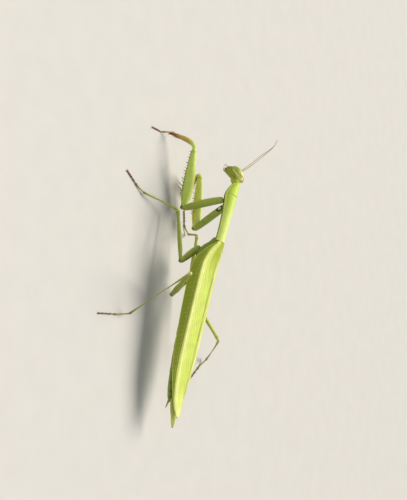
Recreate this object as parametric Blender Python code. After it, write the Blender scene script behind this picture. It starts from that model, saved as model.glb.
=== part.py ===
"""A praying mantis (Mantis religiosa, adult female), life size, standing still on its six feet.

The insect faces -Y, its left side is +X and up is +Z; the floor is z = 0.  Sizes below are in millimetres
and are turned into metres when a mesh is made.  Positions are given in the animal's own layout frame, whose
zero lies on the floor under the wing bases, and LAYOUT_CENTRE moves the whole animal over the origin.
"""

import math

import bmesh
import bpy
import numpy as np
from mathutils import Matrix

MM = 0.001
GAP = 0.12                        # clear space left at every cut between neighbouring parts
LAYOUT_CENTRE = np.array([1.46, 9.19, 0.0])   # middle of the animal's plan, in the layout frame

# Trunk
WING_BASE_Z = 14.45               # height at which the straight back line would meet the wing bases
WING_BASE_LIFT = (-0.4, 1.5, 0.18)  # the base itself is moved by this x and z, fading out at this station
WING_TIP = (44.6, 8.1)            # y and z of the tip of the left fore wing, before its lift
WING_TIP_LIFT = (0.9, 0.8)        # the tip is raised by this much, beginning at this station
WING_PLATE = 0.5                  # thickness of a wing in the solid
PRONOTUM_REAR = np.array([-0.5, -0.45, 16.0])  # top of the back edge of the neck shield
PRONOTUM_FRONT = np.array([-1.6, -16.1, 18.2])

# Head
HEAD_CENTRE = np.array([-1.9, -18.6, 16.5])  # midway between the eyes
HEAD_TURN = (-14.0, -19.0, -28.0)  # degrees: turned to its right, face raised, left eye lifted
HEAD_SCALE = 0.92                 # head tables below are for a head 7.1 wide

# Legs: joint positions from the body outwards (coxa base, trochanter, knee, ankle)
LEGS = {
    "fore_left": [(0.5, -11.1, 15.0), (0.37, -9.6, 2.95), (4.1, -24.6, 6.8), (7.7, -27.5, 2.3)],
    "fore_right": [(-2.6, -10.9, 15.0), (-4.6, -5.3, 4.1), (-1.2, -19.1, 6.1), (-3.4, -15.0, 1.9)],
    "mid_left": [(1.6, 1.6, 10.6), (4.6, 6.1, 7.1), (4.8, -7.6, 4.6), (15.2, -9.2, 0.7)],
    "mid_right": [(-1.6, 1.6, 10.6), (-3.8, 7.6, 5.2), (-1.9, -2.5, 7.0), (-7.2, -4.8, 0.75)],
    "hind_left": [(1.6, 8.4, 9.0), (3.9, 14.4, 5.2), (15.6, 12.0, 17.7), (15.7, 21.8, 1.7)],
    "hind_right": [(-1.6, 8.4, 9.0), (-5.3, 11.0, 4.0), (-8.4, 23.5, 13.0), (-22.8, 26.2, 1.2)],
}
# Feet: where each tarsus first meets the floor, and its far end
SOLE = 0.24                       # height of a tarsus's middle where it lies on the floor
FEET = {
    "fore_left": [(10.4, -27.4), (14.5, -27.0)],
    "fore_right": [(-3.9, -17.6), (-3.5, -21.5)],
    "mid_left": [(17.6, -10.2), (22.4, -12.5)],
    "mid_right": [(-5.7, -6.6), (-4.6, -10.6)],
    "hind_left": [(18.2, 22.5), (25.8, 23.9)],
    "hind_right": [(-21.6, 28.0), (-16.2, 33.4)],
}

# Half thickness across and half depth in the leg's own plane, along each leg.  A station of 1.5 is halfway
# down the second segment: 0-1 coxa, 1-2 trochanter and femur, 2-3 tibia, 3-4 tarsus.
FORE_GIRTH = [(0.0, 0.75, 0.85), (0.4, 0.85, 1.0), (0.9, 0.7, 0.8), (1.0, 0.6, 0.65), (1.08, 0.7, 0.8),
              (1.18, 0.95, 1.25), (1.4, 1.05, 1.45), (1.7, 0.85, 1.15), (1.93, 0.6, 0.75), (2.0, 0.5, 0.5),
              (2.2, 0.5, 0.6), (2.8, 0.4, 0.5), (3.0, 0.35, 0.4), (3.1, 0.27, 0.27), (4.0, 0.26, 0.26)]
MID_GIRTH = [(0.0, 0.7, 0.8), (0.4, 0.75, 0.9), (0.9, 0.6, 0.6), (1.0, 0.45, 0.45), (1.3, 0.55, 0.6),
             (1.9, 0.45, 0.5), (2.0, 0.36, 0.4), (2.1, 0.34, 0.36), (2.95, 0.34, 0.36), (3.0, 0.27, 0.27),
             (4.0, 0.26, 0.26)]
HIND_GIRTH = [(0.0, 0.7, 0.8), (0.4, 0.75, 0.9), (0.9, 0.6, 0.65), (1.0, 0.5, 0.5), (1.25, 0.75, 0.9),
              (1.6, 0.5, 0.6), (1.93, 0.48, 0.52), (2.0, 0.36, 0.4), (2.1, 0.32, 0.35), (2.95, 0.32, 0.34),
              (3.0, 0.27, 0.27), (4.0, 0.26, 0.26)]
GIRTHS = {"fore": FORE_GIRTH, "mid": MID_GIRTH, "hind": HIND_GIRTH}
NEAR_JOINT = (0.0, 0.25, 0.5, 0.8, 1.15)   # distances from a joint at which a segment has a section
TARSUS_OFFSET = 0.85              # a fore tarsus is rooted this far to the outer side of its tibia's end
FORE_TIBIA_BOW = 0.8              # a fore tibia arches this far out of the straight line
SEGMENTS = ("coxa", "femur", "tibia", "tarsus")
LEG_SIDES = 8
RING_STEP = 0.06                  # least distance between neighbouring rings of a leg

COLOURS = {
    "head_green": (0.30, 0.42, 0.06), "eye": (0.45, 0.50, 0.16), "antenna": (0.45, 0.36, 0.18),
    "prothorax_green": (0.42, 0.60, 0.09), "body_green": (0.22, 0.30, 0.05),
    "wing_green": (0.44, 0.62, 0.09), "hindwing": (0.50, 0.52, 0.20), "leg_green": (0.30, 0.40, 0.08),
    "tibia": (0.26, 0.28, 0.09), "tarsus": (0.16, 0.08, 0.05),
}


def material(slot):
    """One Principled material for each named finish, made once."""
    found = bpy.data.materials.get(slot)
    if found:
        return found
    made = bpy.data.materials.new(slot)
    made.use_nodes = True
    surface = made.node_tree.nodes["Principled BSDF"]
    surface.inputs["Base Color"].default_value = (*COLOURS[slot], 1.0)
    surface.inputs["Roughness"].default_value = 0.3 if slot == "eye" else 0.5
    surface.inputs["Metallic"].default_value = 0.0
    return made


def solid(name, rings, slot):
    """Close a run of rings into one body, each end drawn to a point at the ring's middle.

    Each ring is an array of points in millimetres in the layout frame.  Points that would pass through the
    floor are laid flat on it, which gives the feet their soles.
    """
    mesh = bmesh.new()
    rows = []
    for ring in rings:
        placed = (np.asarray(ring) - LAYOUT_CENTRE) * MM
        placed[:, 2] = np.maximum(placed[:, 2], 0.0)
        rows.append([mesh.verts.new(point) for point in placed])
    for row, following in zip(rows, rows[1:]):
        count = len(row)
        for i in range(count):
            j = (i + 1) % count
            mesh.faces.new((row[i], row[j], following[j], following[i]))
    for row, backwards in ((rows[0], True), (rows[-1], False)):
        mesh.faces.new(row[::-1] if backwards else row)
    bmesh.ops.triangulate(mesh, faces=mesh.faces[:])
    bmesh.ops.recalc_face_normals(mesh, faces=mesh.faces[:])
    if mesh.calc_volume(signed=True) < 0.0:
        bmesh.ops.reverse_faces(mesh, faces=mesh.faces[:])
    data = bpy.data.meshes.new(name)
    mesh.to_mesh(data)
    mesh.free()
    data.shade_smooth()
    data.materials.append(material(slot))
    made = bpy.data.objects.new(name, data)
    bpy.context.collection.objects.link(made)
    return made


def unit(vector):
    vector = np.asarray(vector, dtype=float)
    return vector / np.linalg.norm(vector)


def table(rows, at):
    """Read a table of (station, value, value, ...) rows at one station, straight between rows."""
    stations = [row[0] for row in rows]
    return [float(np.interp(at, stations, [row[k] for row in rows])) for k in range(1, len(rows[0]))]


def smooth_line(points, count):
    """Catmull-Rom curve through a few chosen points, read at evenly spaced parameters."""
    points = np.asarray(points, dtype=float)
    padded = np.vstack([2 * points[0] - points[1], points, 2 * points[-1] - points[-2]])
    line = []
    for at in np.linspace(0.0, len(points) - 1.0, count):
        i = min(int(at), len(points) - 2)
        t = at - i
        p0, p1, p2, p3 = padded[i:i + 4]
        line.append(0.5 * (2 * p1 + (p2 - p0) * t + (2 * p0 - 5 * p1 + 4 * p2 - p3) * t ** 2
                           + (3 * p1 - p0 - 3 * p2 + p3) * t ** 3))
    return np.array(line)


def tangents(line):
    """Direction of travel at each point of a line."""
    return np.array([unit(v) for v in np.gradient(line, axis=0)])


def oval(centre, across, up, half_width, half_height, sides):
    """Points of an ellipse about a centre."""
    angles = np.arange(sides) * 2.0 * math.pi / sides
    return (centre + np.outer(np.cos(angles) * half_width, across)
            + np.outer(np.sin(angles) * half_height, up))


class Tube:
    """A line with an oval section at each point, carried along it without twisting from one point."""

    def __init__(self, line, radii, first_across, start=0):
        self.line = np.asarray(line, dtype=float)
        self.radii = np.asarray(radii, dtype=float)
        self.ways = tangents(self.line)
        count = len(self.line)
        self.acrosses = np.zeros((count, 3))
        self.acrosses[start] = self.squared(first_across, start)
        for i in range(start + 1, count):
            self.acrosses[i] = self.squared(self.acrosses[i - 1], i)
        for i in range(start - 1, -1, -1):
            self.acrosses[i] = self.squared(self.acrosses[i + 1], i)
        self.ups = np.cross(self.acrosses, self.ways)

    def squared(self, vector, i):
        """The part of a vector that is square to the line at point i, made unit length."""
        vector = np.asarray(vector, dtype=float)
        return unit(vector - np.dot(vector, self.ways[i]) * self.ways[i])

    def rings(self, sides):
        return [oval(p, a, u, r[0], r[1], sides)
                for p, a, u, r in zip(self.line, self.acrosses, self.ups, self.radii)]

    def depth(self, point, clearance):
        """How far inside the tube a point lies: under 1 is inside the tube grown by the clearance."""
        ends, starts = self.line[1:], self.line[:-1]
        steps = ends - starts
        shares = np.clip(np.sum((point - starts) * steps, axis=1) / np.sum(steps ** 2, axis=1), 0.0, 1.0)
        nearest = starts + steps * shares[:, None]
        i = int(np.argmin(np.sum((point - nearest) ** 2, axis=1)))
        offset = point - nearest[i]
        share = shares[i]
        half = self.radii[i] * (1 - share) + self.radii[i + 1] * share + clearance
        across = unit(self.acrosses[i] * (1 - share) + self.acrosses[i + 1] * share)
        up = unit(self.ups[i] * (1 - share) + self.ups[i + 1] * share)
        along = np.cross(across, up)
        scaled = (np.dot(offset, across) / half[0], np.dot(offset, up) / half[1],
                  np.dot(offset, along) / min(half))
        return nearest[i], offset, math.sqrt(sum(value ** 2 for value in scaled))

    def push_out(self, rings, clearance=1.5 * GAP):
        """Drop the rings whose middles lie inside this tube and lay the rest of the points on its skin.

        Each ring then stays at least a ring step ahead of the one before, so that the side never folds.
        """
        kept = [ring for ring in rings if self.depth(np.mean(ring, axis=0), clearance)[2] > 1.1]
        moved = []
        for ring in kept:
            points = ring.copy()
            for k, point in enumerate(ring):
                nearest, offset, depth = self.depth(point, clearance)
                if depth < 1.0:
                    points[k] = nearest + offset / max(depth, 0.05)
            moved.append(points)
        for k in range(1, len(moved)):
            way = unit(np.mean(kept[k], axis=0) - np.mean(kept[k - 1], axis=0))
            ahead = (moved[k] - moved[k - 1]) @ way
            moved[k] = moved[k] + np.outer(np.maximum(0.0, RING_STEP - ahead), way)
        return moved


def tapered(rings, keep=0.6, length=0.3):
    """Round off both ends of a run of rings with one smaller ring, within the run's own length."""
    first, last = np.mean(rings[0], axis=0), np.mean(rings[-1], axis=0)
    inner_first, inner_last = np.mean(rings[1], axis=0), np.mean(rings[-2], axis=0)
    start = first + (rings[0] - first) * keep
    end = last + (rings[-1] - last) * keep
    rings[0] = rings[0] + (inner_first - first) * length
    rings[-1] = rings[-1] + (inner_last - last) * length
    return [start] + rings + [end]


# ---------------------------------------------------------------- legs

def foot_line(ankle, spots):
    """A tarsus's line: down from the ankle, then along the floor."""
    (x1, y1), (x2, y2) = spots
    landing = (x1, y1, SOLE + 0.04)
    middle = ((x1 + x2) / 2, (y1 + y2) / 2, SOLE)
    line = smooth_line([ankle, landing, middle, (x2, y2, SOLE)], 13)
    near = ankle + np.outer((0.0, 0.25, 0.5), unit(line[1] - ankle))
    return np.vstack([near, line[1:]])


def leg(name, joints, trunk_tube):
    """Coxa, femur with its trochanter, tibia and tarsus, each seated against the one before it."""
    kind, side = name.split("_")
    joints = [np.array(joint, dtype=float) for joint in joints]
    hip, knee, ankle = joints[1:]
    plane = unit(np.cross(knee - hip, ankle - knee))
    earlier = trunk_tube
    for k, segment in enumerate(SEGMENTS):
        if segment == "tarsus":
            root = ankle - unit(np.cross(plane, ankle - knee)) * (TARSUS_OFFSET if kind == "fore" else 0.0)
            line = foot_line(root, FEET[name])
            steps = np.linspace(0.0, 1.0, len(line))
        else:
            length = np.linalg.norm(joints[k + 1] - joints[k])
            near = np.array(NEAR_JOINT) / length
            steps = np.concatenate([near, np.linspace(0.2, 0.8, 4), 1.0 - near[2::-1]])
            line = joints[k] + np.outer(steps, joints[k + 1] - joints[k])
            if segment == "tibia" and kind == "fore":
                outward = np.cross(unit(ankle - knee), plane)
                line = line + np.outer(FORE_TIBIA_BOW * np.sin(math.pi * steps ** 0.65), outward)
        tube = Tube(line, [table(GIRTHS[kind], k + step) for step in steps], plane)
        rings = tube.rings(LEG_SIDES)
        rings = tapered(rings)
        rings = earlier.push_out(rings)
        slot = ("leg_green", "leg_green", "tibia", "tarsus")[k]
        solid(f"{kind}_{segment}_{side}", rings, slot)
        if segment == "tibia" and kind == "fore":
            fore_claw(side, ankle, unit(ankle - knee), plane)
        earlier = tube


def fore_claw(side, ankle, along, plane):
    """The hook at the end of the fore tibia, curving in towards the femur."""
    inward = unit(np.cross(plane, along))
    root = ankle + along * (GAP + 0.05) + inward * 0.25
    line = np.array([root, root + along * 0.6 + inward * 0.05, root + along * 1.1 + inward * 0.3,
                     root + along * 1.4 + inward * 0.7])
    line[:, 2] = np.maximum(line[:, 2], 0.3)
    radii = [(0.3, 0.33), (0.3, 0.3), (0.27, 0.27), (0.25, 0.25)]
    solid(f"fore_claw_{side}", Tube(line, radii, plane).rings(6), "tarsus")


# ---------------------------------------------------------------- trunk

# Along the neck shield from back to front: half width and half height.
PRONOTUM_GIRTH = [(0.0, 1.45, 1.15), (0.25, 1.45, 1.2), (0.5, 1.65, 1.35), (0.64, 1.9, 1.5),
                  (0.78, 2.05, 1.6), (0.88, 1.7, 1.35), (0.95, 1.35, 1.05), (1.0, 1.0, 0.8)]
# Along the thorax and abdomen: distance behind the wing bases, height of centre, half width, half height.
THORAX = [(-0.5, 13.1, 1.4, 1.2), (1.0, 12.1, 2.1, 1.6), (2.5, 11.3, 2.45, 1.8), (5.0, 10.8, 2.6, 1.8),
          (8.0, 10.25, 2.7, 1.8), (10.6, 9.8, 2.7, 1.7)]
ABDOMEN = [(10.8, 9.75, 2.6, 1.65), (13.0, 9.5, 2.8, 1.65), (18.0, 8.85, 3.1, 1.65), (24.0, 8.13, 3.2, 1.5),
           (30.0, 7.5, 3.1, 1.25), (35.0, 6.95, 2.7, 1.05), (38.5, 6.55, 2.0, 0.85), (40.2, 6.35, 1.2, 0.6)]
ABDOMEN_CUT = 24.0
SHIELD_END = 0.95                 # the solid shield stops here, which leaves the neck its length


def pronotum_tube():
    """The long neck shield with the prosternum under it, widest over the fore legs."""
    stations = (0.0, 0.08, 0.3, 0.5, 0.64, 0.75, 0.86, SHIELD_END)
    span = PRONOTUM_FRONT - PRONOTUM_REAR
    across = unit(np.cross(span, (0, 0, 1)))
    up = np.cross(across, unit(span))
    radii = [table(PRONOTUM_GIRTH, station) for station in stations]
    line = [PRONOTUM_REAR + span * station - up * half[1] for station, half in zip(stations, radii)]
    return Tube(line, radii, across)


def trunk_tube(rows, stations):
    line = [(0.0, y, table(rows, y)[0]) for y in stations]
    return Tube(line, [table(rows, y)[1:] for y in stations], np.array([1.0, 0, 0]))


def abdomen():
    """The abdomen in two lengths, and the two short cerci at its end."""
    front = trunk_tube(ABDOMEN, (10.6 + GAP, 13.0, 18.0, ABDOMEN_CUT - GAP / 2))
    rear = trunk_tube(ABDOMEN, (ABDOMEN_CUT + GAP / 2, 30.0, 35.0, 38.5, 40.2, 40.6))
    rear.radii[-1] *= 0.5
    solid("abdomen_front", front.rings(12), "body_green")
    solid("abdomen_rear", rear.rings(12), "body_green")
    for side, name in ((1, "left"), (-1, "right")):
        points = [(side * 0.8, 40.85, 6.15), (side * 1.05, 41.5, 5.97), (side * 1.25, 42.2, 5.76)]
        line = smooth_line(points, 5)
        radii = [(0.28, 0.28), (0.36, 0.36), (0.34, 0.34), (0.3, 0.3), (0.25, 0.25)]
        solid(f"cercus_{name}", Tube(line, radii, np.array([1.0, 0, 0])).rings(6), "body_green")


# Along a fore wing: half width of the flat back field, and drop of the costal strip down the side.
WING_OUTLINE = [(0.0, 1.4, 0.35), (0.05, 2.6, 1.0), (0.11, 3.4, 2.2), (0.2, 3.65, 2.8), (0.35, 3.7, 2.7),
                (0.53, 3.66, 2.2), (0.67, 3.6, 1.6), (0.82, 2.85, 0.8), (0.92, 1.9, 0.45), (0.97, 1.1, 0.3),
                (1.0, 0.5, 0.25)]
# The part of a hind wing that shows behind: half width, and how far it lies below the back line.
HIND_WING_OUTLINE = [(0.94, 1.6, 1.95), (1.0, 1.1, 1.95), (1.03, 0.8, 1.35), (1.055, 0.35, 0.8)]
COSTAL_FLARE = 0.9                # how far the costal edge stands outside the crease
OVERLAP = 1.5                     # how far each fore wing passes the midline
UNDERLAP_DROP = 0.68              # the right fore wing lies this much lower where the left covers it


def wing_frame(station):
    """Point on the back line at a wing station, with the direction away from the body there."""
    tip_y, tip_z = WING_TIP
    along = unit((0.0, tip_y, tip_z - WING_BASE_Z))
    shift_x, lift, fade = WING_BASE_LIFT
    share = max(0.0, 1.0 - station / fade) ** 2
    tip_lift, tip_from = WING_TIP_LIFT
    rise = tip_lift * np.clip((station - tip_from) / (1.0 - tip_from), 0.0, 1.0) ** 2
    height = WING_BASE_Z + (tip_z - WING_BASE_Z) * station + rise
    centre = np.array([shift_x * share, tip_y * station, height + lift * share])
    return centre, np.cross((1.0, 0.0, 0.0), along)


def underside(top, thickness, middle):
    """The line a thickness below a flat line of points, mitred at each bend, so steep parts are as thick."""
    ways = np.array([unit(step) for step in np.diff(top, axis=0)])
    along = unit(np.cross(ways[0], middle))
    normals = np.array([unit(np.cross(along, way)) for way in ways])
    normals *= -np.sign(normals @ middle)[:, None]
    before, after = np.vstack([normals[:1], normals]), np.vstack([normals, normals[-1:]])
    bisectors = np.array([unit(pair) for pair in before + after])
    lengths = thickness / np.sum(bisectors * before, axis=1)
    return top + bisectors * lengths[:, None]


def plate(name, surface, stations, across, thickness, slot):
    """A closed plate of even thickness under a surface."""
    rings = []
    for station in stations:
        top = np.array([surface(station, v) for v in across])
        rings.append(np.vstack([top, underside(top, thickness, wing_frame(station)[1])[::-1]]))
    solid(name, rings, slot)


def fore_wing(side):
    """Back field from past the midline to the crease, then the costal strip turned down the side."""
    def surface(station, v):
        half, drop = table(WING_OUTLINE, station)
        centre, up = wing_frame(station)
        inner = -min(OVERLAP, 0.8 * half)
        if v <= 0.7:
            x = inner + (half - inner) * v / 0.7
            fall = 0.25 * (x / max(half, 0.1)) ** 2
        else:
            turn = (v - 0.7) / 0.3
            x = half + COSTAL_FLARE * min(1.0, drop) * turn
            fall = 0.25 + drop * turn
        if side < 0:
            covered = np.interp(x, (OVERLAP + 0.2, OVERLAP + 1.2), (1.0, 0.0))
            fall += UNDERLAP_DROP * covered
        return centre + np.array([side * x, 0, 0]) - up * fall
    return surface


def hind_wing(side):
    """The tip of the folded hind wing, lying flat under the fore wings and ending just past them."""
    def surface(station, v):
        half, drop = table(HIND_WING_OUTLINE, station)
        centre, up = wing_frame(station)
        x = GAP / 2 + (half - GAP / 2) * v
        return centre + np.array([side * x, 0, 0]) - up * drop
    return surface


def wings():
    stations = (0.0, 0.05, 0.11, 0.2, 0.35, 0.53, 0.67, 0.76, 0.82, 0.88, 0.92, 0.97, 1.0)
    across = (0.0, 0.12, 0.3, 0.5, 0.7, 1.0)
    for side, name, shorter in ((1, "left", 1.0), (-1, "right", 0.985)):
        plate(f"tegmen_{name}", fore_wing(side), [s * shorter for s in stations], across, WING_PLATE,
              "wing_green")
        plate(f"hindwing_{name}", hind_wing(side), (0.94, 0.97, 1.0, 1.03, 1.055), (0.0, 0.5, 1.0),
              WING_PLATE, "hindwing")


# ---------------------------------------------------------------- head

# Head from the crown down: height, half width, half depth, and how far back the middle lies.
HEAD_TABLE = [(2.0, 0.8, 0.35, 0.1), (1.75, 1.7, 0.8, 0.1), (1.2, 2.2, 1.1, 0.1), (0.5, 2.3, 1.25, 0.1),
              (-0.3, 2.25, 1.28, 0.1), (-1.0, 2.0, 1.2, 0.05), (-1.7, 1.6, 1.05, 0.0),
              (-2.3, 1.2, 0.9, -0.05), (-2.75, 0.92, 0.78, -0.08)]
MOUTH_TABLE = [(-2.9, 0.82, 0.72, -0.08), (-3.3, 0.72, 0.66, -0.05), (-3.7, 0.55, 0.5, 0.0),
               (-4.0, 0.3, 0.3, 0.05)]
EYE_CENTRE = (2.2, -0.42, 0.6)
EYE_HALF = (1.35, 0.88, 2.1)
EYE_LEAN = math.radians(22.0)     # the top of each eye leans back
NECK_CLEARANCE = 0.25             # the neck begins this far in front of the shield's rim
NECK_ROOT = (0.1, 1.56, 0.4)      # where it meets the back of the head, in the head's own frame
NECK_HALF = (0.9, 0.7)
EYE_ROOT = 1.76                   # the eyes are seated on the head's flat sides, this far from its middle


def head_frame():
    """Rotation of the head: rolled about its face axis, then raised, then turned."""
    yaw, pitch, roll = (math.radians(angle) for angle in HEAD_TURN)
    turn = Matrix.Rotation(yaw, 3, "Z") @ Matrix.Rotation(pitch, 3, "X") @ Matrix.Rotation(roll, 3, "Y")
    return np.array(turn)


def head():
    rotation = head_frame()

    def place(points):
        return HEAD_CENTRE + (np.asarray(points) * HEAD_SCALE) @ rotation.T

    x_axis, y_axis = np.array([1.0, 0, 0]), np.array([0, 1.0, 0])
    leaned = np.array(Matrix.Rotation(-EYE_LEAN, 3, "X")).T
    for name, rows in (("head", HEAD_TABLE), ("mouthparts", MOUTH_TABLE)):
        rings = [oval(np.array([0, back, z]), x_axis, y_axis, width, depth, 16)
                 for z, width, depth, back in rows]
        for ring in rings:
            ring[:, 0] = np.clip(ring[:, 0], -EYE_ROOT + GAP, EYE_ROOT - GAP)
        solid(name, [place(ring) for ring in rings], "head_green")
    for side, name in ((1, "left"), (-1, "right")):
        rings = []
        for angle in np.linspace(0.12, math.pi - 0.12, 9):
            centre = leaned[2] * EYE_HALF[2] * math.cos(angle) + EYE_CENTRE * np.array([side, 1, 1])
            width, depth = EYE_HALF[0] * math.sin(angle), EYE_HALF[1] * math.sin(angle)
            ring = oval(centre, leaned[0], leaned[1], width, depth, 12)
            ring[:, 0] = side * np.maximum(side * ring[:, 0], EYE_ROOT + 0.04 * math.cos(angle) ** 2)
            rings.append(place(ring))
        solid(f"eye_{name}", rings, "eye")
        antenna(side, name, place)
    return place


def antenna(side, name, place):
    """A long thin feeler from the middle of the face, rising forwards and curling over at its end."""
    root = place([[side * 0.5, -1.45, 0.6]])[0]
    if side > 0:
        through = [root, (-1.7, -21.1, 20.7), (-1.5, -22.8, 23.2), (-1.2, -25.0, 27.0), (-0.9, -27.0, 28.3)]
    else:
        through = [root, (-3.6, -21.3, 19.6), (-4.6, -23.4, 21.4), (-6.2, -26.4, 23.6), (-7.6, -28.3, 24.0)]
    line = smooth_line(through, 12)
    radii = [(0.26, 0.26)] * len(line)
    solid(f"antenna_{name}", Tube(line, radii, np.array([1.0, 0, 0])).rings(6), "antenna")


def neck(place, shield):
    """The short soft neck: rings blended from the shield's front rim to the back of the head."""
    start = shield.line[-1] + shield.ways[-1] * NECK_CLEARANCE
    first = oval(start, shield.acrosses[-1], shield.ups[-1], *NECK_HALF, LEG_SIDES)
    across, up = np.array([-1.0, 0, 0]), np.array([0, 0, 1.0])
    last = place(oval(np.array(NECK_ROOT), across, up, *NECK_HALF, LEG_SIDES))
    solid("neck", [first * (1 - share) + last * share for share in (0.0, 0.33, 0.67, 1.0)], "head_green")


def main():
    for old in list(bpy.data.objects):
        bpy.data.objects.remove(old, do_unlink=True)
    shield = pronotum_tube()
    thorax = trunk_tube(THORAX, (-0.5, 0.6, 2.5, 5.0, 8.0, 10.6))
    solid("pronotum", tapered(shield.rings(12), 0.75), "prothorax_green")
    solid("thorax", tapered(thorax.rings(12), 0.7), "body_green")
    neck(head(), shield)
    abdomen()
    wings()
    for name, joints in LEGS.items():
        leg(name, joints, shield if name.startswith("fore") else thorax)


main()
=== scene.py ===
# %% [markdown]
# # A praying mantis, from solids to a finished model
# An adult Mantis religiosa stands on the floor as a museum's display model would: front legs
# half folded, head turned to its right and the long green fore wings closed over the back.
# The carried-over solids fix where body, legs and wings are. This script draws their shapes again as an
# outer shell, with tables of its own for outlines and girths, and lays colours and fine parts over it:
# veins, spines, hairs, eyes, feelers and claws.
# An insect has no soft skin over bones. Its plates are its outside, so each leg, the head and the trunk
# get one unbroken shell of their own, and eyes, claws and wings stay separate, as on the animal.

# %% Load the frame
import math

import bpy
import numpy as np
from mathutils import Matrix, Vector


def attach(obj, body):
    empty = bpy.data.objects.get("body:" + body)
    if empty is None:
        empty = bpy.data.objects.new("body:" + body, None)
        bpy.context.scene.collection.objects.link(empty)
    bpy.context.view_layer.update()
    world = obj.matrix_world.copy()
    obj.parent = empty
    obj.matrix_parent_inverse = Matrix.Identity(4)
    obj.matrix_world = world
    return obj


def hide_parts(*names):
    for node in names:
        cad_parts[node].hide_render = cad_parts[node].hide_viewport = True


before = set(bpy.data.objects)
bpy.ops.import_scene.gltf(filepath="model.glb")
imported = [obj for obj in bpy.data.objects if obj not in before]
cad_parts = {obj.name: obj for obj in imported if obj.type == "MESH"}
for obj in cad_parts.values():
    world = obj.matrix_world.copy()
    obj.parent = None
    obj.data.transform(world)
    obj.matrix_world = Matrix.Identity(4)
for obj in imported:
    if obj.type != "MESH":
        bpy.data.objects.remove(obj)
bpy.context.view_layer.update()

# %% [markdown]
# ## Units and colours
# A mantis is small, so every size here is written in millimetres in the animal's layout frame, whose zero
# is on the floor under the wing bases. One function moves points to the frame's origin and to metres.
# Colours are ordinary sRGB hex values. Shaders want linear light, so one function converts them.

# %% Units and colours
MM = 0.001
LAYOUT_CENTRE = np.array([1.46, 9.19, 0.0])


def linear(code):
    """Linear RGB of an sRGB hex colour: each channel c becomes ((c + 0.055) / 1.055) to the power 2.4."""
    channels = np.array([int(code[i:i + 2], 16) for i in (1, 3, 5)]) / 255.0
    low = channels / 12.92
    return np.where(channels <= 0.04045, low, ((channels + 0.055) / 1.055) ** 2.4)


def unit(vectors):
    """Vectors divided by their own lengths."""
    vectors = np.asarray(vectors, dtype=float)
    return vectors / np.linalg.norm(vectors, axis=-1, keepdims=True)


def step(values, low, high):
    """Smooth rise from 0 to 1 between two values: 3t squared minus 2t cubed."""
    t = np.clip((np.asarray(values, dtype=float) - low) / (high - low), 0.0, 1.0)
    return t * t * (3.0 - 2.0 * t)


def mix(first, second, share):
    """Colours blended point by point: first times (1 - share) plus second times share."""
    share = np.asarray(share)[..., None]
    return first * (1.0 - share) + second * share


def layered(base, shape, *coats):
    """A base colour over a grid of this shape, then each (colour, share) mixed over it in turn."""
    colour = np.broadcast_to(base, (*shape, 3))
    for coat, share in coats:
        colour = mix(colour, coat, share)
    return colour


def circle(count):
    """Evenly spaced angles once round."""
    return np.linspace(0, 2 * math.pi, count, endpoint=False)


def placed(name, data):
    """A new object at the origin that holds a mesh, light or camera, linked to the scene."""
    thing = bpy.data.objects.new(name, data)
    bpy.context.collection.objects.link(thing)
    return thing


# %% [markdown]
# ## Curves
# Two kinds of smooth curve do nearly all the work. A path is a Catmull-Rom curve through a few points in
# space. A profile is a curve through a table of widths, one row for each station along the path. Both
# pass exactly through the values given, so sizes can be read straight from the tables.

# %% Paths and profiles
def profile(rows, at):
    """Smooth values at stations: cubic pieces through the rows, with slopes averaged from neighbours."""
    rows = np.array(rows, dtype=float)
    stations, values = rows[:, 0], rows[:, 1:]
    slopes = np.gradient(values, stations, axis=0)
    at = np.clip(np.asarray(at, dtype=float), stations[0], stations[-1])
    i = np.clip(np.searchsorted(stations, at, side="right") - 1, 0, len(stations) - 2)
    span = (stations[i + 1] - stations[i])[:, None]
    t = (at - stations[i])[:, None] / span
    return ((2 * t ** 3 - 3 * t ** 2 + 1) * values[i] + (t ** 3 - 2 * t ** 2 + t) * span * slopes[i]
            + (3 * t ** 2 - 2 * t ** 3) * values[i + 1] + (t ** 3 - t ** 2) * span * slopes[i + 1])


def path(points, count):
    """Catmull-Rom curve through points, read at evenly spaced parameters."""
    points = np.asarray(points, dtype=float)
    return profile(np.column_stack([np.arange(len(points)), points]),
                   np.linspace(0, len(points) - 1, count))


def sections(line, reference):
    """Direction of travel at each point of a line, with two directions square to it.

    The first is the reference less its part along the line; the second is their cross product.
    """
    ways = unit(np.gradient(line, axis=0))
    reference = np.asarray(reference, dtype=float)
    across = unit(reference - (ways @ reference)[:, None] * ways)
    return ways, across, np.cross(across, ways)


# %% [markdown]
# ## Shapes
# A shape is a set of points, faces and a colour for each point. A closed tube is a grid of points, joined
# round one way and drawn to a point at both ends. Its volume tells whether the faces look outwards: where
# it comes out negative the faces are turned over. Many shapes can be joined into one piece.

# %% Tubes and thorns
def closed_tube(points, colours):
    """A grid of rings, wrapped round and closed at each end with a fan to the ring's middle."""
    rows, columns = points.shape[:2]
    colours = np.broadcast_to(colours, points.shape)
    index = np.arange(rows * columns).reshape(rows, columns)
    ahead = np.roll(index, -1, axis=1)
    quads = np.stack([index[:-1], ahead[:-1], ahead[1:], index[1:]], axis=-1).reshape(-1, 4)
    first, last = rows * columns, rows * columns + 1
    fans = [np.stack([np.full(columns, first), ahead[0], index[0]], axis=-1),
            np.stack([np.full(columns, last), index[-1], ahead[-1]], axis=-1)]
    vertices = np.vstack([points.reshape(-1, 3), points[0].mean(axis=0), points[-1].mean(axis=0)])
    paint = np.vstack([colours.reshape(-1, 3), colours[0].mean(axis=0), colours[-1].mean(axis=0)])
    tris = np.vstack(fans)
    triangles = np.vstack([quads[:, [0, 1, 2]], quads[:, [0, 2, 3]], tris])
    a, b, c = (vertices[triangles[:, k]] for k in range(3))
    if np.sum(a * np.cross(b, c)) < 0:
        quads, tris = quads[:, ::-1], tris[:, ::-1]
    return vertices, [quads, tris], paint


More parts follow.
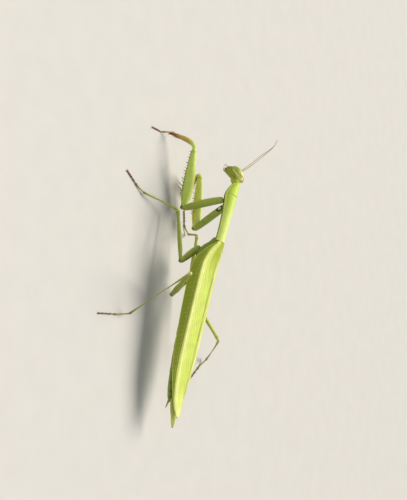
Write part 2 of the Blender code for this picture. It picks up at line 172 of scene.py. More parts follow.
def tube(line, reference, half_widths, half_heights, colours, sides=32, round_ends=True):
    """Surface line + across * a * cos(angle) + up * b * sin(angle), where a and b follow the line.

    Rounded ends shrink the last few rings along a quarter circle.
    """
    _, across, up = sections(line, reference)
    angle = circle(sides)
    a = np.broadcast_to(np.asarray(half_widths, dtype=float).reshape(len(line), -1), (len(line), sides))
    b = np.broadcast_to(np.asarray(half_heights, dtype=float).reshape(len(line), -1), (len(line), sides))
    if round_ends:
        travelled = np.concatenate([[0], np.cumsum(np.linalg.norm(np.diff(line, axis=0), axis=1))])
        reach = np.minimum(travelled, travelled[-1] - travelled) / np.maximum(a[:, 0], 1e-6)
        dome = np.sqrt(np.clip(1 - (1 - np.clip(reach, 0.02, 1)) ** 2, 0, 1))[:, None]
        a, b = a * dome, b * dome
    points = (line[:, None] + (across[:, None] * (a * np.cos(angle))[..., None])
              + up[:, None] * (b * np.sin(angle))[..., None])
    return closed_tube(points, colours)


def thorns(roots, directions, lengths, widths, base, tip, bend=None, sides=5, rings=4, dark_from=0.45):
    """Many curved cones at once: root + direction * L * t + bend * L * t squared, tapering as 1 - t."""
    roots, directions = np.asarray(roots, dtype=float), unit(directions)
    count = len(roots)
    lengths = np.broadcast_to(lengths, count)[:, None, None]
    widths = np.broadcast_to(widths, count)[:, None, None, None]
    bend = np.zeros((count, 3)) if bend is None else np.broadcast_to(bend, (count, 3))
    t = np.linspace(0, 1, rings)[None, :, None]
    spine = roots[:, None] + directions[:, None] * lengths * t + bend[:, None] * lengths * t ** 2
    helper = np.where(np.abs(directions[:, 2:]) < 0.9, [[0, 0, 1.0]], [[1.0, 0, 0]])
    side = unit(np.cross(directions, helper))
    other = np.cross(directions, side)
    angle = circle(sides)
    rim = (side[:, None] * np.cos(angle)[None, :, None] + other[:, None] * np.sin(angle)[None, :, None])
    taper = np.maximum(1 - t, 0.06)[..., None]
    points = spine[:, :, None] + rim[:, None] * widths * taper
    shade = mix(base, tip, step(np.linspace(0, 1, rings), dark_from - 0.25, dark_from + 0.25))
    index = np.arange(count * rings * sides).reshape(count, rings, sides)
    ahead = np.roll(index, -1, axis=2)
    quads = np.stack([index[:, :-1], index[:, 1:], ahead[:, 1:], ahead[:, :-1]], axis=-1).reshape(-1, 4)
    caps = [index[:, -1, :], index[:, 0, ::-1]]
    paint = np.broadcast_to(shade[None, :, None], points.shape).reshape(-1, 3)
    vertices = points.reshape(-1, 3)
    corner, second, _, fourth = vertices[quads[0]]
    outward = np.dot(np.cross(second - corner, fourth - corner), corner - spine[0, 0])
    faces = [quads, *caps]
    if outward < 0:
        faces = [group[:, ::-1] for group in faces]
    return vertices, faces, paint


# %% [markdown]
# ## One skin from many shapes
# The head and each leg are first made as overlapping closed tubes. A voxel remesh keeps only their common
# outside and rounds the creases where they meet, and a light smoothing takes off the grid's steps.
# A Data Transfer modifier then brings the colours over from the nearest point of the first shapes. All of
# it is done in millimetres, because a remesh rounds sizes under a tenth of a millimetre in metres.

# %% Skin maker
VOXEL_MM = 0.075


def joined_mesh(name, shapes):
    """One mesh, still in millimetres, from a list of shapes, with their colours in Paint."""
    vertices = np.vstack([shape[0] for shape in shapes])
    paint = np.vstack([shape[2] for shape in shapes])
    faces, start = [], 0
    for points, groups, _ in shapes:
        for group in groups:
            faces.extend((group + start).tolist())
        start += len(points)
    mesh = bpy.data.meshes.new(name)
    mesh.from_pydata(vertices.tolist(), [], faces)
    layer = mesh.attributes.new("Paint", "FLOAT_COLOR", "POINT")
    layer.data.foreach_set("color", np.column_stack([paint, np.ones(len(paint))]).astype(np.float32).ravel())
    return mesh


def evaluated(thing):
    """The mesh of an object as its modifiers leave it."""
    depsgraph = bpy.context.evaluated_depsgraph_get()
    depsgraph.update()
    return bpy.data.meshes.new_from_object(thing.evaluated_get(depsgraph))


def one_skin(shapes, voxel=VOXEL_MM, smoothing=4):
    """Union of closed shapes as one smooth surface, returned as a shape of its own."""
    source = placed("source", joined_mesh("source", shapes))
    skin = placed("skin", source.data.copy())
    union = skin.modifiers.new("Union", "REMESH")
    union.mode, union.voxel_size = "VOXEL", voxel
    steps_off = skin.modifiers.new("Steps off", "SMOOTH")
    steps_off.factor, steps_off.iterations = 0.5, smoothing
    skin.data = evaluated(skin)
    skin.modifiers.clear()
    skin.data.attributes.new("Paint", "FLOAT_COLOR", "POINT")
    carry = skin.modifiers.new("Colours", "DATA_TRANSFER")
    carry.object, carry.use_vert_data = source, True
    carry.data_types_verts, carry.vert_mapping = {"COLOR_VERTEX"}, "POLYINTERP_NEAREST"
    carry.layers_vcol_vert_select_src, carry.layers_vcol_vert_select_dst = "ALL", "NAME"
    mesh = evaluated(skin)
    vertices, paint = np.empty(3 * len(mesh.vertices)), np.empty(4 * len(mesh.vertices))
    corners = np.empty(len(mesh.loops), dtype=int)
    mesh.vertices.foreach_get("co", vertices)
    mesh.attributes["Paint"].data.foreach_get("color", paint)
    mesh.loops.foreach_get("vertex_index", corners)
    for thing in (source, skin):
        bpy.data.objects.remove(thing)
    return vertices.reshape(-1, 3), [corners.reshape(-1, 4)], paint.reshape(-1, 4)[:, :3]


# %% [markdown]
# ## From shapes to pieces
# A finished piece is one object at the origin, whose mesh holds its place. It rides on the frame's one
# body and hides the solids that it stands for. The colours go into a point attribute called Paint, which
# the materials read, so markings follow the surface from every side.

# %% Pieces
def make_piece(name, shapes, material, stands_for=(), crease=None):
    """Join shapes into one object in metres, smooth apart from edges sharper than the crease angle."""
    mesh = joined_mesh(name, shapes)
    places = np.vstack([shape[0] for shape in shapes])
    mesh.vertices.foreach_set("co", ((places - LAYOUT_CENTRE) * MM).astype(np.float32).ravel())
    mesh.polygons.foreach_set("use_smooth", np.ones(len(mesh.polygons), dtype=bool))
    if crease:
        mesh.set_sharp_from_angle(angle=math.radians(crease))
    mesh.materials.append(material)
    mesh.update()
    piece = placed(name, mesh)
    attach(piece, "root")
    if stands_for:
        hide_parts(*stands_for)
    print(f"{name}: {sum(len(face.vertices) - 2 for face in mesh.polygons)} triangles")
    return piece


# %% [markdown]
# ## Materials
# The outside of an insect is cuticle, a natural laminate of chitin and protein under a film of wax. It is
# a dielectric with an index near 1.5, satin to the eye, and thin enough to let a little light soak in.
# A pattern of shallow dimples, a few hundredths of a millimetre across, breaks up its shine; it is drawn
# at a tenth of a millimetre so that it can be seen at all.
# One helper adds a node with its settings and its links, and each finish below is built from it.

# %% The node helper
def add(tree, kind, settings=None, sockets=None):
    """Add a node, set its properties, then give each input a value or link it to an output."""
    node = tree.nodes.new(kind)
    for name, value in (settings or {}).items():
        setattr(node, name, value)
    for name, value in (sockets or {}).items():
        if isinstance(value, bpy.types.NodeSocket):
            tree.links.new(value, node.inputs[name])
        else:
            node.inputs[name].default_value = value
    return node


def start_material(name, values):
    """A material with its Principled surface, the surface's own values set, and the two coordinates."""
    material = bpy.data.materials.new(name)
    material.use_nodes = True
    tree = material.node_tree
    surface = tree.nodes["Principled BSDF"]
    for socket, value in values.items():
        surface.inputs[socket].default_value = value
    paint = add(tree, "ShaderNodeAttribute", {"attribute_name": "Paint"}).outputs["Color"]
    place = add(tree, "ShaderNodeTexCoord").outputs["Object"]
    return material, tree, surface, paint, place


def finish_surface(tree, surface, paint, level, height, depth_mm, strength, invert=False):
    """Scale the painted colour by a level, and give a height to the bump at a real depth."""
    tinted = add(tree, "ShaderNodeVectorMath", {"operation": "SCALE"}, {0: paint, "Scale": level})
    tree.links.new(tinted.outputs[0], surface.inputs["Base Color"])
    bump = add(tree, "ShaderNodeBump", {"invert": invert},
               {"Height": height, "Distance": depth_mm * MM, "Strength": strength})
    tree.links.new(bump.outputs[0], surface.inputs["Normal"])


# %% [markdown]
# ### Waxy cuticle
# Living cuticle is never one flat green: its pigment lies unevenly in the cells below, in soft clouds
# about a millimetre across with finer grain inside them. Two noises scale the painted colour up and down
# by up to 12 per cent, and the dimples go to the bump. A little light passes below the surface.

# %% Waxy cuticle
WAX_BLOOM = 0.32                   # the dry film of wax scatters away part of the mirror reflection
CLOUD_MM = 1.1
GRAIN_MM = 0.16
DIMPLE_MM = 0.10


def waxy_cuticle(name, roughness, dimple_depth_mm, subsurface=0.12):
    """Painted colour times (0.88 to 1.12) from clouds and grain, with dimples as bump."""
    material, tree, surface, paint, place = start_material(name, {
        "Roughness": roughness, "IOR": 1.5, "Specular IOR Level": WAX_BLOOM,
        "Subsurface Weight": subsurface, "Subsurface Radius": (0.35, 0.5, 0.12), "Subsurface Scale": 0.0006})
    cloud, grain = (add(tree, "ShaderNodeTexNoise", None,
                        {"Vector": place, "Scale": 1 / (size * MM), "Detail": detail})
                    for size, detail in ((CLOUD_MM, 3.0), (GRAIN_MM, 2.0)))
    both = add(tree, "ShaderNodeMath", {"operation": "MULTIPLY_ADD"},
               {0: cloud.outputs["Fac"], 1: 0.7, 2: grain.outputs["Fac"]})
    level = add(tree, "ShaderNodeMapRange", None,
                {"Value": both.outputs[0], "From Min": 0.55, "From Max": 1.15, "To Min": 0.88,
                 "To Max": 1.12})
    dimples = add(tree, "ShaderNodeTexVoronoi", {"feature": "SMOOTH_F1"},
                  {"Vector": place, "Scale": 1 / (DIMPLE_MM * MM), "Smoothness": 0.6})
    finish_surface(tree, surface, paint, level.outputs["Result"], dimples.outputs["Distance"],
                   dimple_depth_mm, 0.6)
    return material


HEAD_CUTICLE = waxy_cuticle("waxy cuticle of the head", 0.42, 0.010)
SHIELD_CUTICLE = waxy_cuticle("waxy cuticle of the neck shield", 0.45, 0.012)
TRUNK_CUTICLE = waxy_cuticle("waxy cuticle of the trunk", 0.5, 0.014)
LEG_CUTICLE = waxy_cuticle("waxy cuticle of the legs", 0.45, 0.010)
FOOT_CUTICLE = waxy_cuticle("dark tanned cuticle of feet and claws", 0.4, 0.006, subsurface=0.0)

# %% [markdown]
# ### Wing leather
# The fore wings are leathery, stiffened by a net of veins. The long veins are raised in the mesh. The net
# between them is drawn as cells 0.36 mm wide and twice as long as wide, with raised, slightly paler
# edges. The cells follow the wing because the pattern is stretched along the body.

# %% Wing leather
CELL_MM, WING_CLOUD_MM = 0.36, 2.4
RIDGE_MM = 0.03                    # height of the net's raised edges


def wing_leather(name, roughness, net_strength, subsurface):
    """Painted colour lightened along the edges of long cells, which are also raised as bump."""
    material, tree, surface, paint, place = start_material(name, {
        "Roughness": roughness, "IOR": 1.5, "Specular IOR Level": WAX_BLOOM,
        "Subsurface Weight": subsurface, "Subsurface Radius": (0.5, 0.7, 0.15), "Subsurface Scale": 0.0005})
    stretched = add(tree, "ShaderNodeMapping", {"vector_type": "POINT"},
                    {"Vector": place, "Scale": (1, 0.5, 1)})
    cells = add(tree, "ShaderNodeTexVoronoi", {"feature": "DISTANCE_TO_EDGE"},
                {"Vector": stretched.outputs[0], "Scale": 1 / (CELL_MM * MM)})
    ridge = add(tree, "ShaderNodeMapRange", None,
                {"Value": cells.outputs["Distance"], "From Min": 0.0, "From Max": 0.12, "To Min": 1.0,
                 "To Max": 0.0})
    cloud = add(tree, "ShaderNodeTexNoise", None,
                {"Vector": place, "Scale": 1 / (WING_CLOUD_MM * MM), "Detail": 3.0})
    level = add(tree, "ShaderNodeMapRange", None,
                {"Value": cloud.outputs["Fac"], "From Min": 0.3, "From Max": 0.7, "To Min": 0.93,
                 "To Max": 1.07})
    lifted = add(tree, "ShaderNodeMath", {"operation": "MULTIPLY_ADD"},
                 {0: ridge.outputs["Result"], 1: net_strength, 2: level.outputs["Result"]})
    finish_surface(tree, surface, paint, lifted.outputs[0], ridge.outputs["Result"], RIDGE_MM, 0.5)
    return material


FORE_WING_LEATHER = wing_leather("fore wing leather", 0.42, 0.07, 0.1)
HIND_WING_FILM = wing_leather("hind wing membrane", 0.3, 0.12, 0.25)

# %% [markdown]
# ### Eyes
# A compound eye is a dome of thousands of clear lenses under which green pigment shows. Each lens is
# about 0.03 mm wide; here they are drawn at 0.07 mm. The surface is smooth and glossy with an index near
# that of glass, so the highlight is small and bright.

# %% Eye lenses
FACET_MM, FACET_DEPTH_MM = 0.07, 0.006


def eye_lenses():
    """Painted colour under a glossy surface broken into small domes."""
    material, tree, surface, paint, place = start_material("compound eye", {
        "Roughness": 0.22, "IOR": 1.52, "Subsurface Weight": 0.1, "Subsurface Radius": (0.4, 0.5, 0.2),
        "Subsurface Scale": 0.0004})
    facets = add(tree, "ShaderNodeTexVoronoi", {"feature": "F1"},
                 {"Vector": place, "Scale": 1 / (FACET_MM * MM), "Randomness": 0.25})
    level = add(tree, "ShaderNodeMapRange", None,
                {"Value": facets.outputs["Distance"], "From Min": 0.0, "From Max": 0.7, "To Min": 1.04,
                 "To Max": 0.93})
    finish_surface(tree, surface, paint, level.outputs["Result"], facets.outputs["Distance"],
                   FACET_DEPTH_MM, 0.5, invert=True)
    return material


EYE_LENSES = eye_lenses()

# %% [markdown]
# ## The head
# Seen from the front a mantis's head is a triangle: an arched crown between two large eyes, narrowing to
# the mouth. It is thin from front to back. One shell carries crown, face and cheeks. Its section at each
# height is a rounded rectangle, |x/w| and |y/d| to the power 2.5, with its own depth in front and behind.
# Fine relief is added as hills and furrows, each a bell curve of distance: four furrows run over the
# crown, a shield stands in the middle of the face, and sockets hold the feelers.

# %% Where the head sits
HEAD_CENTRE = np.array([-1.9, -18.6, 16.5])
HEAD_TURN = (-14.0, -19.0, -28.0)     # degrees: turned to its right, face raised, left eye lifted
HEAD_SCALE = 0.92

yaw, pitch, roll = (math.radians(angle) for angle in HEAD_TURN)
HEAD_ROTATION = np.array(Matrix.Rotation(yaw, 3, "Z") @ Matrix.Rotation(pitch, 3, "X")
                         @ Matrix.Rotation(roll, 3, "Y"))


def on_head(points):
    """Points of the head's own frame (x to its left, y back, z to its crown) put in their place."""
    return HEAD_CENTRE + (np.asarray(points, dtype=float) * HEAD_SCALE) @ HEAD_ROTATION.T


# %% Head shell
# Painted light: the crown colour pales the head towards its top. Painted shade: the cheek colour darkens its
# back half.
CROWN_PAINTED_LIGHT, CHEEK_PAINTED_SHADE = linear("#CDD066"), linear("#8F9628")
# Painted shade, in olive: the crown's furrows, the jaw seams, the lowest part of the face, the snout's end
# and the shield's groove are darkened with it.
FACE_GREEN, PALE_LINE, PAINTED_SHADE_OLIVE = linear("#868F22"), linear("#EFDF9C"), linear("#505C10")
PALP_STRAW = linear("#B9AE84")

# Depth below the crown: half width, depth in front, depth behind
HEAD_TABLE = [(-2.04, 0.35, 0.2, 0.2), (-1.95, 0.95, 0.45, 0.45), (-1.7, 1.6, 0.8, 0.8),
              (-1.2, 2.0, 1.1, 1.1), (-0.5, 2.15, 1.4, 1.3), (0.3, 2.2, 1.65, 1.34), (1.0, 2.05, 1.8, 1.26),
              (1.7, 1.75, 1.8, 1.05), (2.3, 1.4, 1.6, 0.82), (2.75, 1.1, 1.3, 0.68), (2.95, 0.9, 1.05, 0.55)]


def bell(distance, width):
    """Bell curve: exp of minus (distance / width) squared."""
    return np.exp(-(distance / width) ** 2)


def head_shell():
    """For each depth and angle: x = w |cos|^0.8 and y = d |sin|^0.8 with their signs, plus the relief."""
    down = np.concatenate([np.linspace(-2.04, -1.6, 14), np.linspace(-1.55, 2.8, 80),
                           np.linspace(2.83, 2.95, 5)])
    width, front, back = profile(HEAD_TABLE, down).T[:, :, None]
    angle = circle(120)
    c, s = np.cos(angle), np.sin(angle)
    x = width * np.sign(c) * np.abs(c) ** 0.8
    depth = np.where(s < 0, front, back)
    y = depth * np.sign(s) * np.abs(s) ** 0.8 + 0.05
    z = np.broadcast_to(-down[:, None], x.shape).copy()
    facing = step(-s, 0.2, 0.9)
    rear = step(s, -0.1, 0.5)
    shield = step(z, -0.35, -0.1) * (1 - step(z, 0.25, 0.45)) * (1 - step(np.abs(x), 0.75, 0.95))
    clypeus = step(z, -1.75, -1.55) * (1 - step(z, -0.65, -0.45)) * (1 - step(np.abs(x), 0.75, 0.95))
    labrum = (1 - step(z, -1.95, -1.8)) * (1 - step(np.abs(x), 0.6, 0.8))
    sockets = bell(np.hypot(np.abs(x) - 0.52, z - 0.62), 0.24)
    y -= facing * (0.09 * shield + 0.10 * clypeus + 0.08 * labrum - 0.10 * sockets)
    furrows = sum(bell(np.abs(x) - place, 0.07) for place in (0.62, 1.25)) * step(z, 0.9, 1.4)
    y += np.where(s < 0, 1, -1) * 0.05 * furrows
    z = z - 0.06 * furrows
    occiput = bell(z - (1.25 - 0.12 * x ** 2), 0.10) * rear
    y += 0.08 * occiput
    jaw_seam = bell(z + 1.75 - 0.25 * y, 0.06) * step(np.abs(x), 0.7, 1.0)
    x = x - 0.05 * np.sign(x) * jaw_seam
    face_lines = (bell(z + 0.5, 0.06) + bell(z + 1.85, 0.06))
    # Painted light pales the crown towards the top; painted shade darkens the back half of the head, its
    # furrows and seams, and its lowest part.
    colour = layered(FACE_GREEN, x.shape, (CHEEK_PAINTED_SHADE, step(y, -0.9, -0.2)),
                     (CROWN_PAINTED_LIGHT, step(z, 0.5, 1.7)), (PALE_LINE, 0.6 * occiput),
                     (PAINTED_SHADE_OLIVE, 0.5 * furrows + 0.3 * jaw_seam), (PALE_LINE, 0.5 * facing * face_lines),
                     (PAINTED_SHADE_OLIVE, 0.55 * step(-z, 2.1, 2.8)))
    points = on_head(np.stack([x, y, z], axis=-1))
    return closed_tube(points, colour)


# %% [markdown]
# ### Mouthparts
# Below the face the jaws and lower lip make a blunt snout, with two pairs of jointed palps folded round
# it. The snout is a short tube; each palp is a thin tube whose width swells once per joint.

# %% Mouthparts and palps
def palp(points, half_width, joints, colour):
    """A thin jointed tube: half width times (0.78 + 0.28 |sin|) times a taper, one swelling a joint."""
    line = on_head(path(points, 12 * joints))
    along = np.linspace(0, 1, len(line))
    swelling = half_width * (0.78 + 0.28 * np.abs(np.sin(math.pi * joints * along))) * (1 - 0.3 * along)
    return tube(line, HEAD_ROTATION[:, 0], swelling, swelling, colour, sides=12)


OUTER_PALP = np.array([(0.95, -0.35, -2.5), (1.2, -0.75, -3.0), (1.05, -1.05, -3.5), (0.75, -0.95, -3.95),
                       (0.5, -0.7, -4.1)])
INNER_PALP = np.array([(0.5, 0.35, -2.9), (0.8, 0.3, -3.45), (0.65, 0.0, -3.95), (0.35, -0.25, -4.05)])
MANDIBLE = np.array([(1.15, -0.35, -1.7), (1.05, -0.55, -2.4), (0.6, -0.55, -3.1)])


def mouthparts():
    """Snout, and on each side two palps and a jaw, all listed for the left and mirrored in x."""
    snout = on_head(path([(0, -0.1, -2.5), (0, -0.12, -3.0), (0, -0.15, -3.4), (0, -0.2, -3.7)], 30))
    rows = profile([(0, 0.95, 0.85), (0.4, 0.82, 0.72), (0.75, 0.6, 0.5), (1.0, 0.35, 0.32)],
                   np.linspace(0, 1, 30))
    # Painted shade: the snout darkens towards its end.
    colours = mix(np.broadcast_to(FACE_GREEN, (30, 1, 3)), PAINTED_SHADE_OLIVE, np.linspace(0.1, 0.9, 30)[:, None])
    shapes = [tube(snout, HEAD_ROTATION[:, 0], rows[:, 0], rows[:, 1], colours)]
    girth = 0.42 * np.sin(np.linspace(0.5, 2.6, 20))
    for side in (1, -1):
        mirror = np.array([side, 1, 1])
        shapes.append(palp(OUTER_PALP * mirror, 0.13, 5, PALP_STRAW))
        shapes.append(palp(INNER_PALP * mirror, 0.11, 3, PALP_STRAW))
        mandible = path(MANDIBLE * mirror, 20)
        shapes.append(tube(on_head(mandible), HEAD_ROTATION[:, 0], girth, 1.3 * girth, FACE_GREEN, sides=16))
    return shapes


# %% [markdown]
# ### Eyes, simple eyes and feelers
# Each eye is an egg whose long axis leans back, set deep in the side of the head in a raised pale rim.
# It is yellow-green, with painted light paling its upper half, and a dark and a pale band along its hind
# part.
# Three simple eyes sit in a triangle over the feelers. A feeler has a stout root, a short second joint
# and a whip of very many short rings, which taper all the way.

# %% Eyes
EYE_CENTRE = np.array([2.0, -0.45, 0.6])
EYE_HALF = (1.3, 1.0, 2.05)
EYE_LEAN, RIM_POLE = math.radians(22.0), math.radians(112.0)
EYE_FRONT, EYE_PAINTED_LIGHT = linear("#A9BE3C"), linear("#DCD884")
EYE_LOW, EYE_DARK_BAND = linear("#A6B648"), linear("#4F5E10")
PSEUDOPUPIL = linear("#2A2A14")


def eye_point(side, east, north):
    """Egg surface: half sizes times (cos e cos n, sin e cos n, sin n), leaned back about the x axis."""
    x = EYE_HALF[0] * np.cos(east) * np.cos(north)
    y = EYE_HALF[1] * np.sin(east) * np.cos(north)
    z = EYE_HALF[2] * np.sin(north)
    leaned_y = y * math.cos(EYE_LEAN) + z * math.sin(EYE_LEAN)
    leaned_z = z * math.cos(EYE_LEAN) - y * math.sin(EYE_LEAN)
    return np.stack([side * (EYE_CENTRE[0] + x), EYE_CENTRE[1] + leaned_y, EYE_CENTRE[2] + leaned_z],
                    axis=-1)


def eye(side):
    """An egg on a grid of (north, east); east 0 faces outwards and a quarter turn faces back."""
    north = np.linspace(-math.pi / 2 + 0.03, math.pi / 2 - 0.03, 60)[:, None]
    east = circle(96)[None]
    turn = (east + math.pi) % (2 * math.pi) - math.pi
    points = on_head(eye_point(side, east, north))
    pupil = bell(np.hypot((turn + 1.0) * 1.2, (north + 0.05) * 1.6), 0.11)
    fade = np.cos(north) ** 0.5
    # Painted light: the upper half of each eye is mixed towards cream.
    colour = layered(EYE_FRONT, points.shape[:2], (EYE_LOW, 1 - step(np.sin(north), -0.9, 0.1)),
                     (EYE_PAINTED_LIGHT, 0.85 * step(np.sin(north), -0.1, 0.5) * np.ones_like(turn)),
                     (EYE_DARK_BAND, 0.75 * bell(turn - 0.52, 0.10) * fade),
                     (PALE_LINE, 0.8 * step(turn, 0.68, 0.85) * fade), (PSEUDOPUPIL, 0.8 * pupil))
    return closed_tube(points, colour)


def eye_rim(side):
    """A ring round the eye's root, a little larger than the egg's section RIM_POLE from its outer pole."""
    around = circle(90)
    y = 1.03 * EYE_HALF[1] * np.cos(around)
    z = 1.0 * EYE_HALF[2] * np.sin(around)
    ring = np.stack([np.full(90, side * (EYE_CENTRE[0] + EYE_HALF[0] * math.cos(RIM_POLE))),
                     EYE_CENTRE[1] + y * math.cos(EYE_LEAN) + z * math.sin(EYE_LEAN),
                     EYE_CENTRE[2] + z * math.cos(EYE_LEAN) - y * math.sin(EYE_LEAN)], axis=-1)
    radial = unit(ring - EYE_CENTRE * [side, 1, 1])
    angle = circle(12)
    axis = np.array([side * 1.0, 0, 0])
    points = (ring[:, None] + radial[:, None] * (0.10 * np.cos(angle))[None, :, None]
              + axis * (0.16 * np.sin(angle))[None, :, None])
    index = np.arange(90 * 12).reshape(90, 12)
    ahead, over = np.roll(index, -1, axis=0), np.roll(index, -1, axis=1)
    both = np.roll(ahead, -1, axis=1)
    quads = np.stack([index, ahead, both, over], axis=-1).reshape(-1, 4)
    vertices = on_head(points).reshape(-1, 3)
    a, b, c = (vertices[quads[:, k]] for k in range(3))
    if np.sum(a * np.cross(b, c)) < 0:
        quads = quads[:, ::-1]
    return vertices, [quads], np.broadcast_to(PALE_LINE, (len(vertices), 3))


def ball(centre, half, colour, rows=14, sides=20):
    """An ellipsoid at a point of the layout frame."""
    north = np.linspace(-1.5, 1.5, rows)[:, None]
    east = circle(sides)[None]
    points = np.stack([half[0] * np.cos(north) * np.cos(east), half[1] * np.cos(north) * np.sin(east),
                       half[2] * np.sin(north) + 0 * east], axis=-1)
    return closed_tube(np.asarray(centre) + points, colour)


# %% Feelers
FEELER_GREEN, FEELER_STRAW, FEELER_TIP = linear("#A9B35A"), linear("#CDBB86"), linear("#8C6F4A")
FEELER_RINGS = 62


def feeler(side):
    """A whip from 0.13 to 0.055 mm in half width, thicker over its two root joints, waisted at each ring."""
    root = on_head([side * 0.52, -1.15, 0.62])
    collar = on_head([side * 0.56, -1.65, 0.85])
    if side > 0:
        rest = [(-1.75, -20.9, 20.4), (-1.5, -22.8, 23.2), (-1.2, -25.0, 27.0), (-0.9, -26.8, 28.2)]
    else:
        rest = [(-3.6, -21.2, 19.5), (-4.6, -23.4, 21.4), (-6.2, -26.4, 23.6), (-7.5, -28.1, 24.0)]
    line = path([root, collar, *rest], 6 * FEELER_RINGS)
    along = np.linspace(0, 1, len(line))
    waist = 1 - 0.14 * np.abs(np.cos(math.pi * FEELER_RINGS * along)) ** 6
    scape = 0.12 * (1 - step(along, 0.05, 0.075)) + 0.04 * (1 - step(along, 0.09, 0.11))
    half = (0.13 - 0.075 * along + scape) * waist
    colour = layered(FEELER_GREEN, (len(line),), (FEELER_STRAW, step(along, 0.03, 0.15)),
                     (FEELER_TIP, step(along, 0.35, 1.0)))
    return tube(line, (1, 0, 0), half, half, colour[:, None], sides=10)


# %% Make the head
NECK_OLIVE = linear("#9DAA38")


def neck_tube():
    """The short soft neck, from inside the shield's rim to the back of the head."""
    line = path([(-1.5, -15.0, 16.9), (-1.62, -16.1, 17.1), on_head([0.1, 1.7, 0.5]),
                 on_head([0.05, 0.7, 0.3])], 24)
    folds = 1 + 0.05 * np.sin(np.linspace(0, 9 * math.pi, 24))
    return tube(line, (1, 0, 0), 1.05 * folds, 0.92 * folds, NECK_OLIVE)


head_shapes = [head_shell(), neck_tube(), eye_rim(1), eye_rim(-1), *mouthparts()]
make_piece("head", [one_skin(head_shapes, voxel=0.045)], HEAD_CUTICLE,
           ("head", "mouthparts", "neck"))
for side, name in ((1, "left"), (-1, "right")):
    make_piece(f"eye_{name}", [eye(side)], EYE_LENSES, (f"eye_{name}",))
    make_piece(f"feeler_{name}", [feeler(side)], HEAD_CUTICLE, (f"antenna_{name}",))
OCELLUS = linear("#C9A552")
make_piece("simple_eyes", [ball(on_head([x, -1.12, z]), (0.13, 0.13, 0.13), OCELLUS)
                           for x, z in ((0.0, 1.0), (0.3, 1.3), (-0.3, 1.3))], EYE_LENSES)

# %% [markdown]
# ## The neck shield
# Behind the head a long narrow shield, the pronotum, roofs the front of the chest. It widens over the
# roots of the front legs, where a groove crosses it, and a fine keel runs down its middle. Its side edges
# are thin, pale and set with tiny teeth. The chest below is narrower, so the edge stands proud.
# The section is an ellipse above, pressed in below the edge, and all relief is added in the section's own
# directions.

# %% The neck shield
PRONOTUM_REAR, PRONOTUM_FRONT = np.array([-0.5, -0.45, 16.0]), np.array([-1.6, -16.1, 18.2])
PRONOTUM_GIRTH = [(0.0, 1.45, 1.15), (0.25, 1.45, 1.2), (0.5, 1.65, 1.35), (0.64, 1.9, 1.5),
                  (0.78, 2.05, 1.6), (0.88, 1.7, 1.35), (0.95, 1.35, 1.05), (1.0, 1.0, 0.8)]
SHIELD_GREEN, SHIELD_EDGE, CHEST_PAINTED_SHADE = linear("#B6CB3E"), linear("#E8E28E"), linear("#737B18")
KEEL_PALE, SHIELD_REAR = linear("#D3DE6E"), linear("#D6E37C")
GROOVE_AT = 0.76                   # where the groove crosses the shield
EDGE_TEETH = 46
REAR_OVERHANG = 0.35               # the shield's rear edge laps over the wing bases by this much


def neck_shield():
    """Tube whose upper half is a low arch and whose lower half is drawn in by a tenth under the edge."""
    at = np.linspace(0, 1, 220)
    half, high = profile(PRONOTUM_GIRTH, at).T[:, :, None]
    span = PRONOTUM_FRONT - PRONOTUM_REAR
    forward = unit(span)
    across = unit(np.cross(span, (0, 0, 1)))
    up = np.cross(across, forward)
    angle = circle(120)
    c, s = np.cos(angle), np.sin(angle)
    front_end = np.sqrt(np.clip(1 - (1 - np.clip((1 - at) / 0.05, 0.02, 1)) ** 2, 0, 1))[:, None]
    rear_end = np.sqrt(np.clip(1 - (1 - np.clip(at / 0.012, 0.02, 1)) ** 2, 0, 1))[:, None]
    half = half * (0.35 + 0.65 * front_end) * (0.85 + 0.15 * rear_end)
    high = high * (0.4 + 0.6 * front_end) * (0.75 + 0.25 * rear_end)
    drawn_in = np.where(s < 0, 0.90 + 0.10 * np.abs(c) ** 10, 1.0)
    x = half * c * drawn_in
    teeth = 0.05 * np.abs(np.sin(math.pi * EDGE_TEETH * at))[:, None] * bell(s, 0.16)
    x = x + np.sign(c) * (teeth + 0.06 * bell(s, 0.12))
    z = high * np.where(s > 0, np.abs(s) ** 1.05, -np.abs(s) ** 0.9)
    above = step(s, 0.05, 0.5)
    keel = bell(x, 0.09) * above
    groove = bell(at[:, None] - GROOVE_AT - 0.012 * (x / 2) ** 2, 0.007) * above
    dish = bell(np.abs(x) - 0.62 * half, 0.35 * half) * above
    z = z + 0.07 * keel - 0.10 * groove - 0.05 * dish
    # Painted shade: the chest under the shield's edge is dark olive, and the cross groove is darkened.
    colour = layered(CHEST_PAINTED_SHADE, x.shape, (SHIELD_GREEN, step(s, -0.3, 0.0)),
                     (SHIELD_REAR, 0.75 * (1 - step(at, 0.3, 0.7))[:, None] * step(s, -0.1, 0.3)),
                     (SHIELD_EDGE, 0.8 * bell(s - 0.03, 0.10)),
                     (KEEL_PALE, 0.45 * keel + 0.25 * step(s, 0.3, 1.0) * (1 - keel)),
                     (PAINTED_SHADE_OLIVE, 0.35 * groove),
                     (SHIELD_EDGE, 0.6 * (bell(at - 0.006, 0.008)[:, None] * above)))
    middle = PRONOTUM_REAR + span * at[:, None] - up * high
    middle = middle - forward * (REAR_OVERHANG * (1 - step(at, 0.0, 0.2)))[:, None]
    points = middle[:, None] + across * x[..., None] + up * z[..., None]
    return closed_tube(points, colour)


make_piece("neck_shield", [neck_shield()], SHIELD_CUTICLE, ("pronotum",))

# %% [markdown]
# ## The trunk
# Under the wings lie the hind part of the chest and the abdomen, a lean spindle of plates, each tucked
# under the one in front and meeting in a soft fold along the side. One profile carries the whole trunk; a
# saw-tooth in the radius gives each plate its raised rear edge. Here every edge runs all the way round,
# which is simpler than life. Two short ringed tails, the cerci, stand at the end.

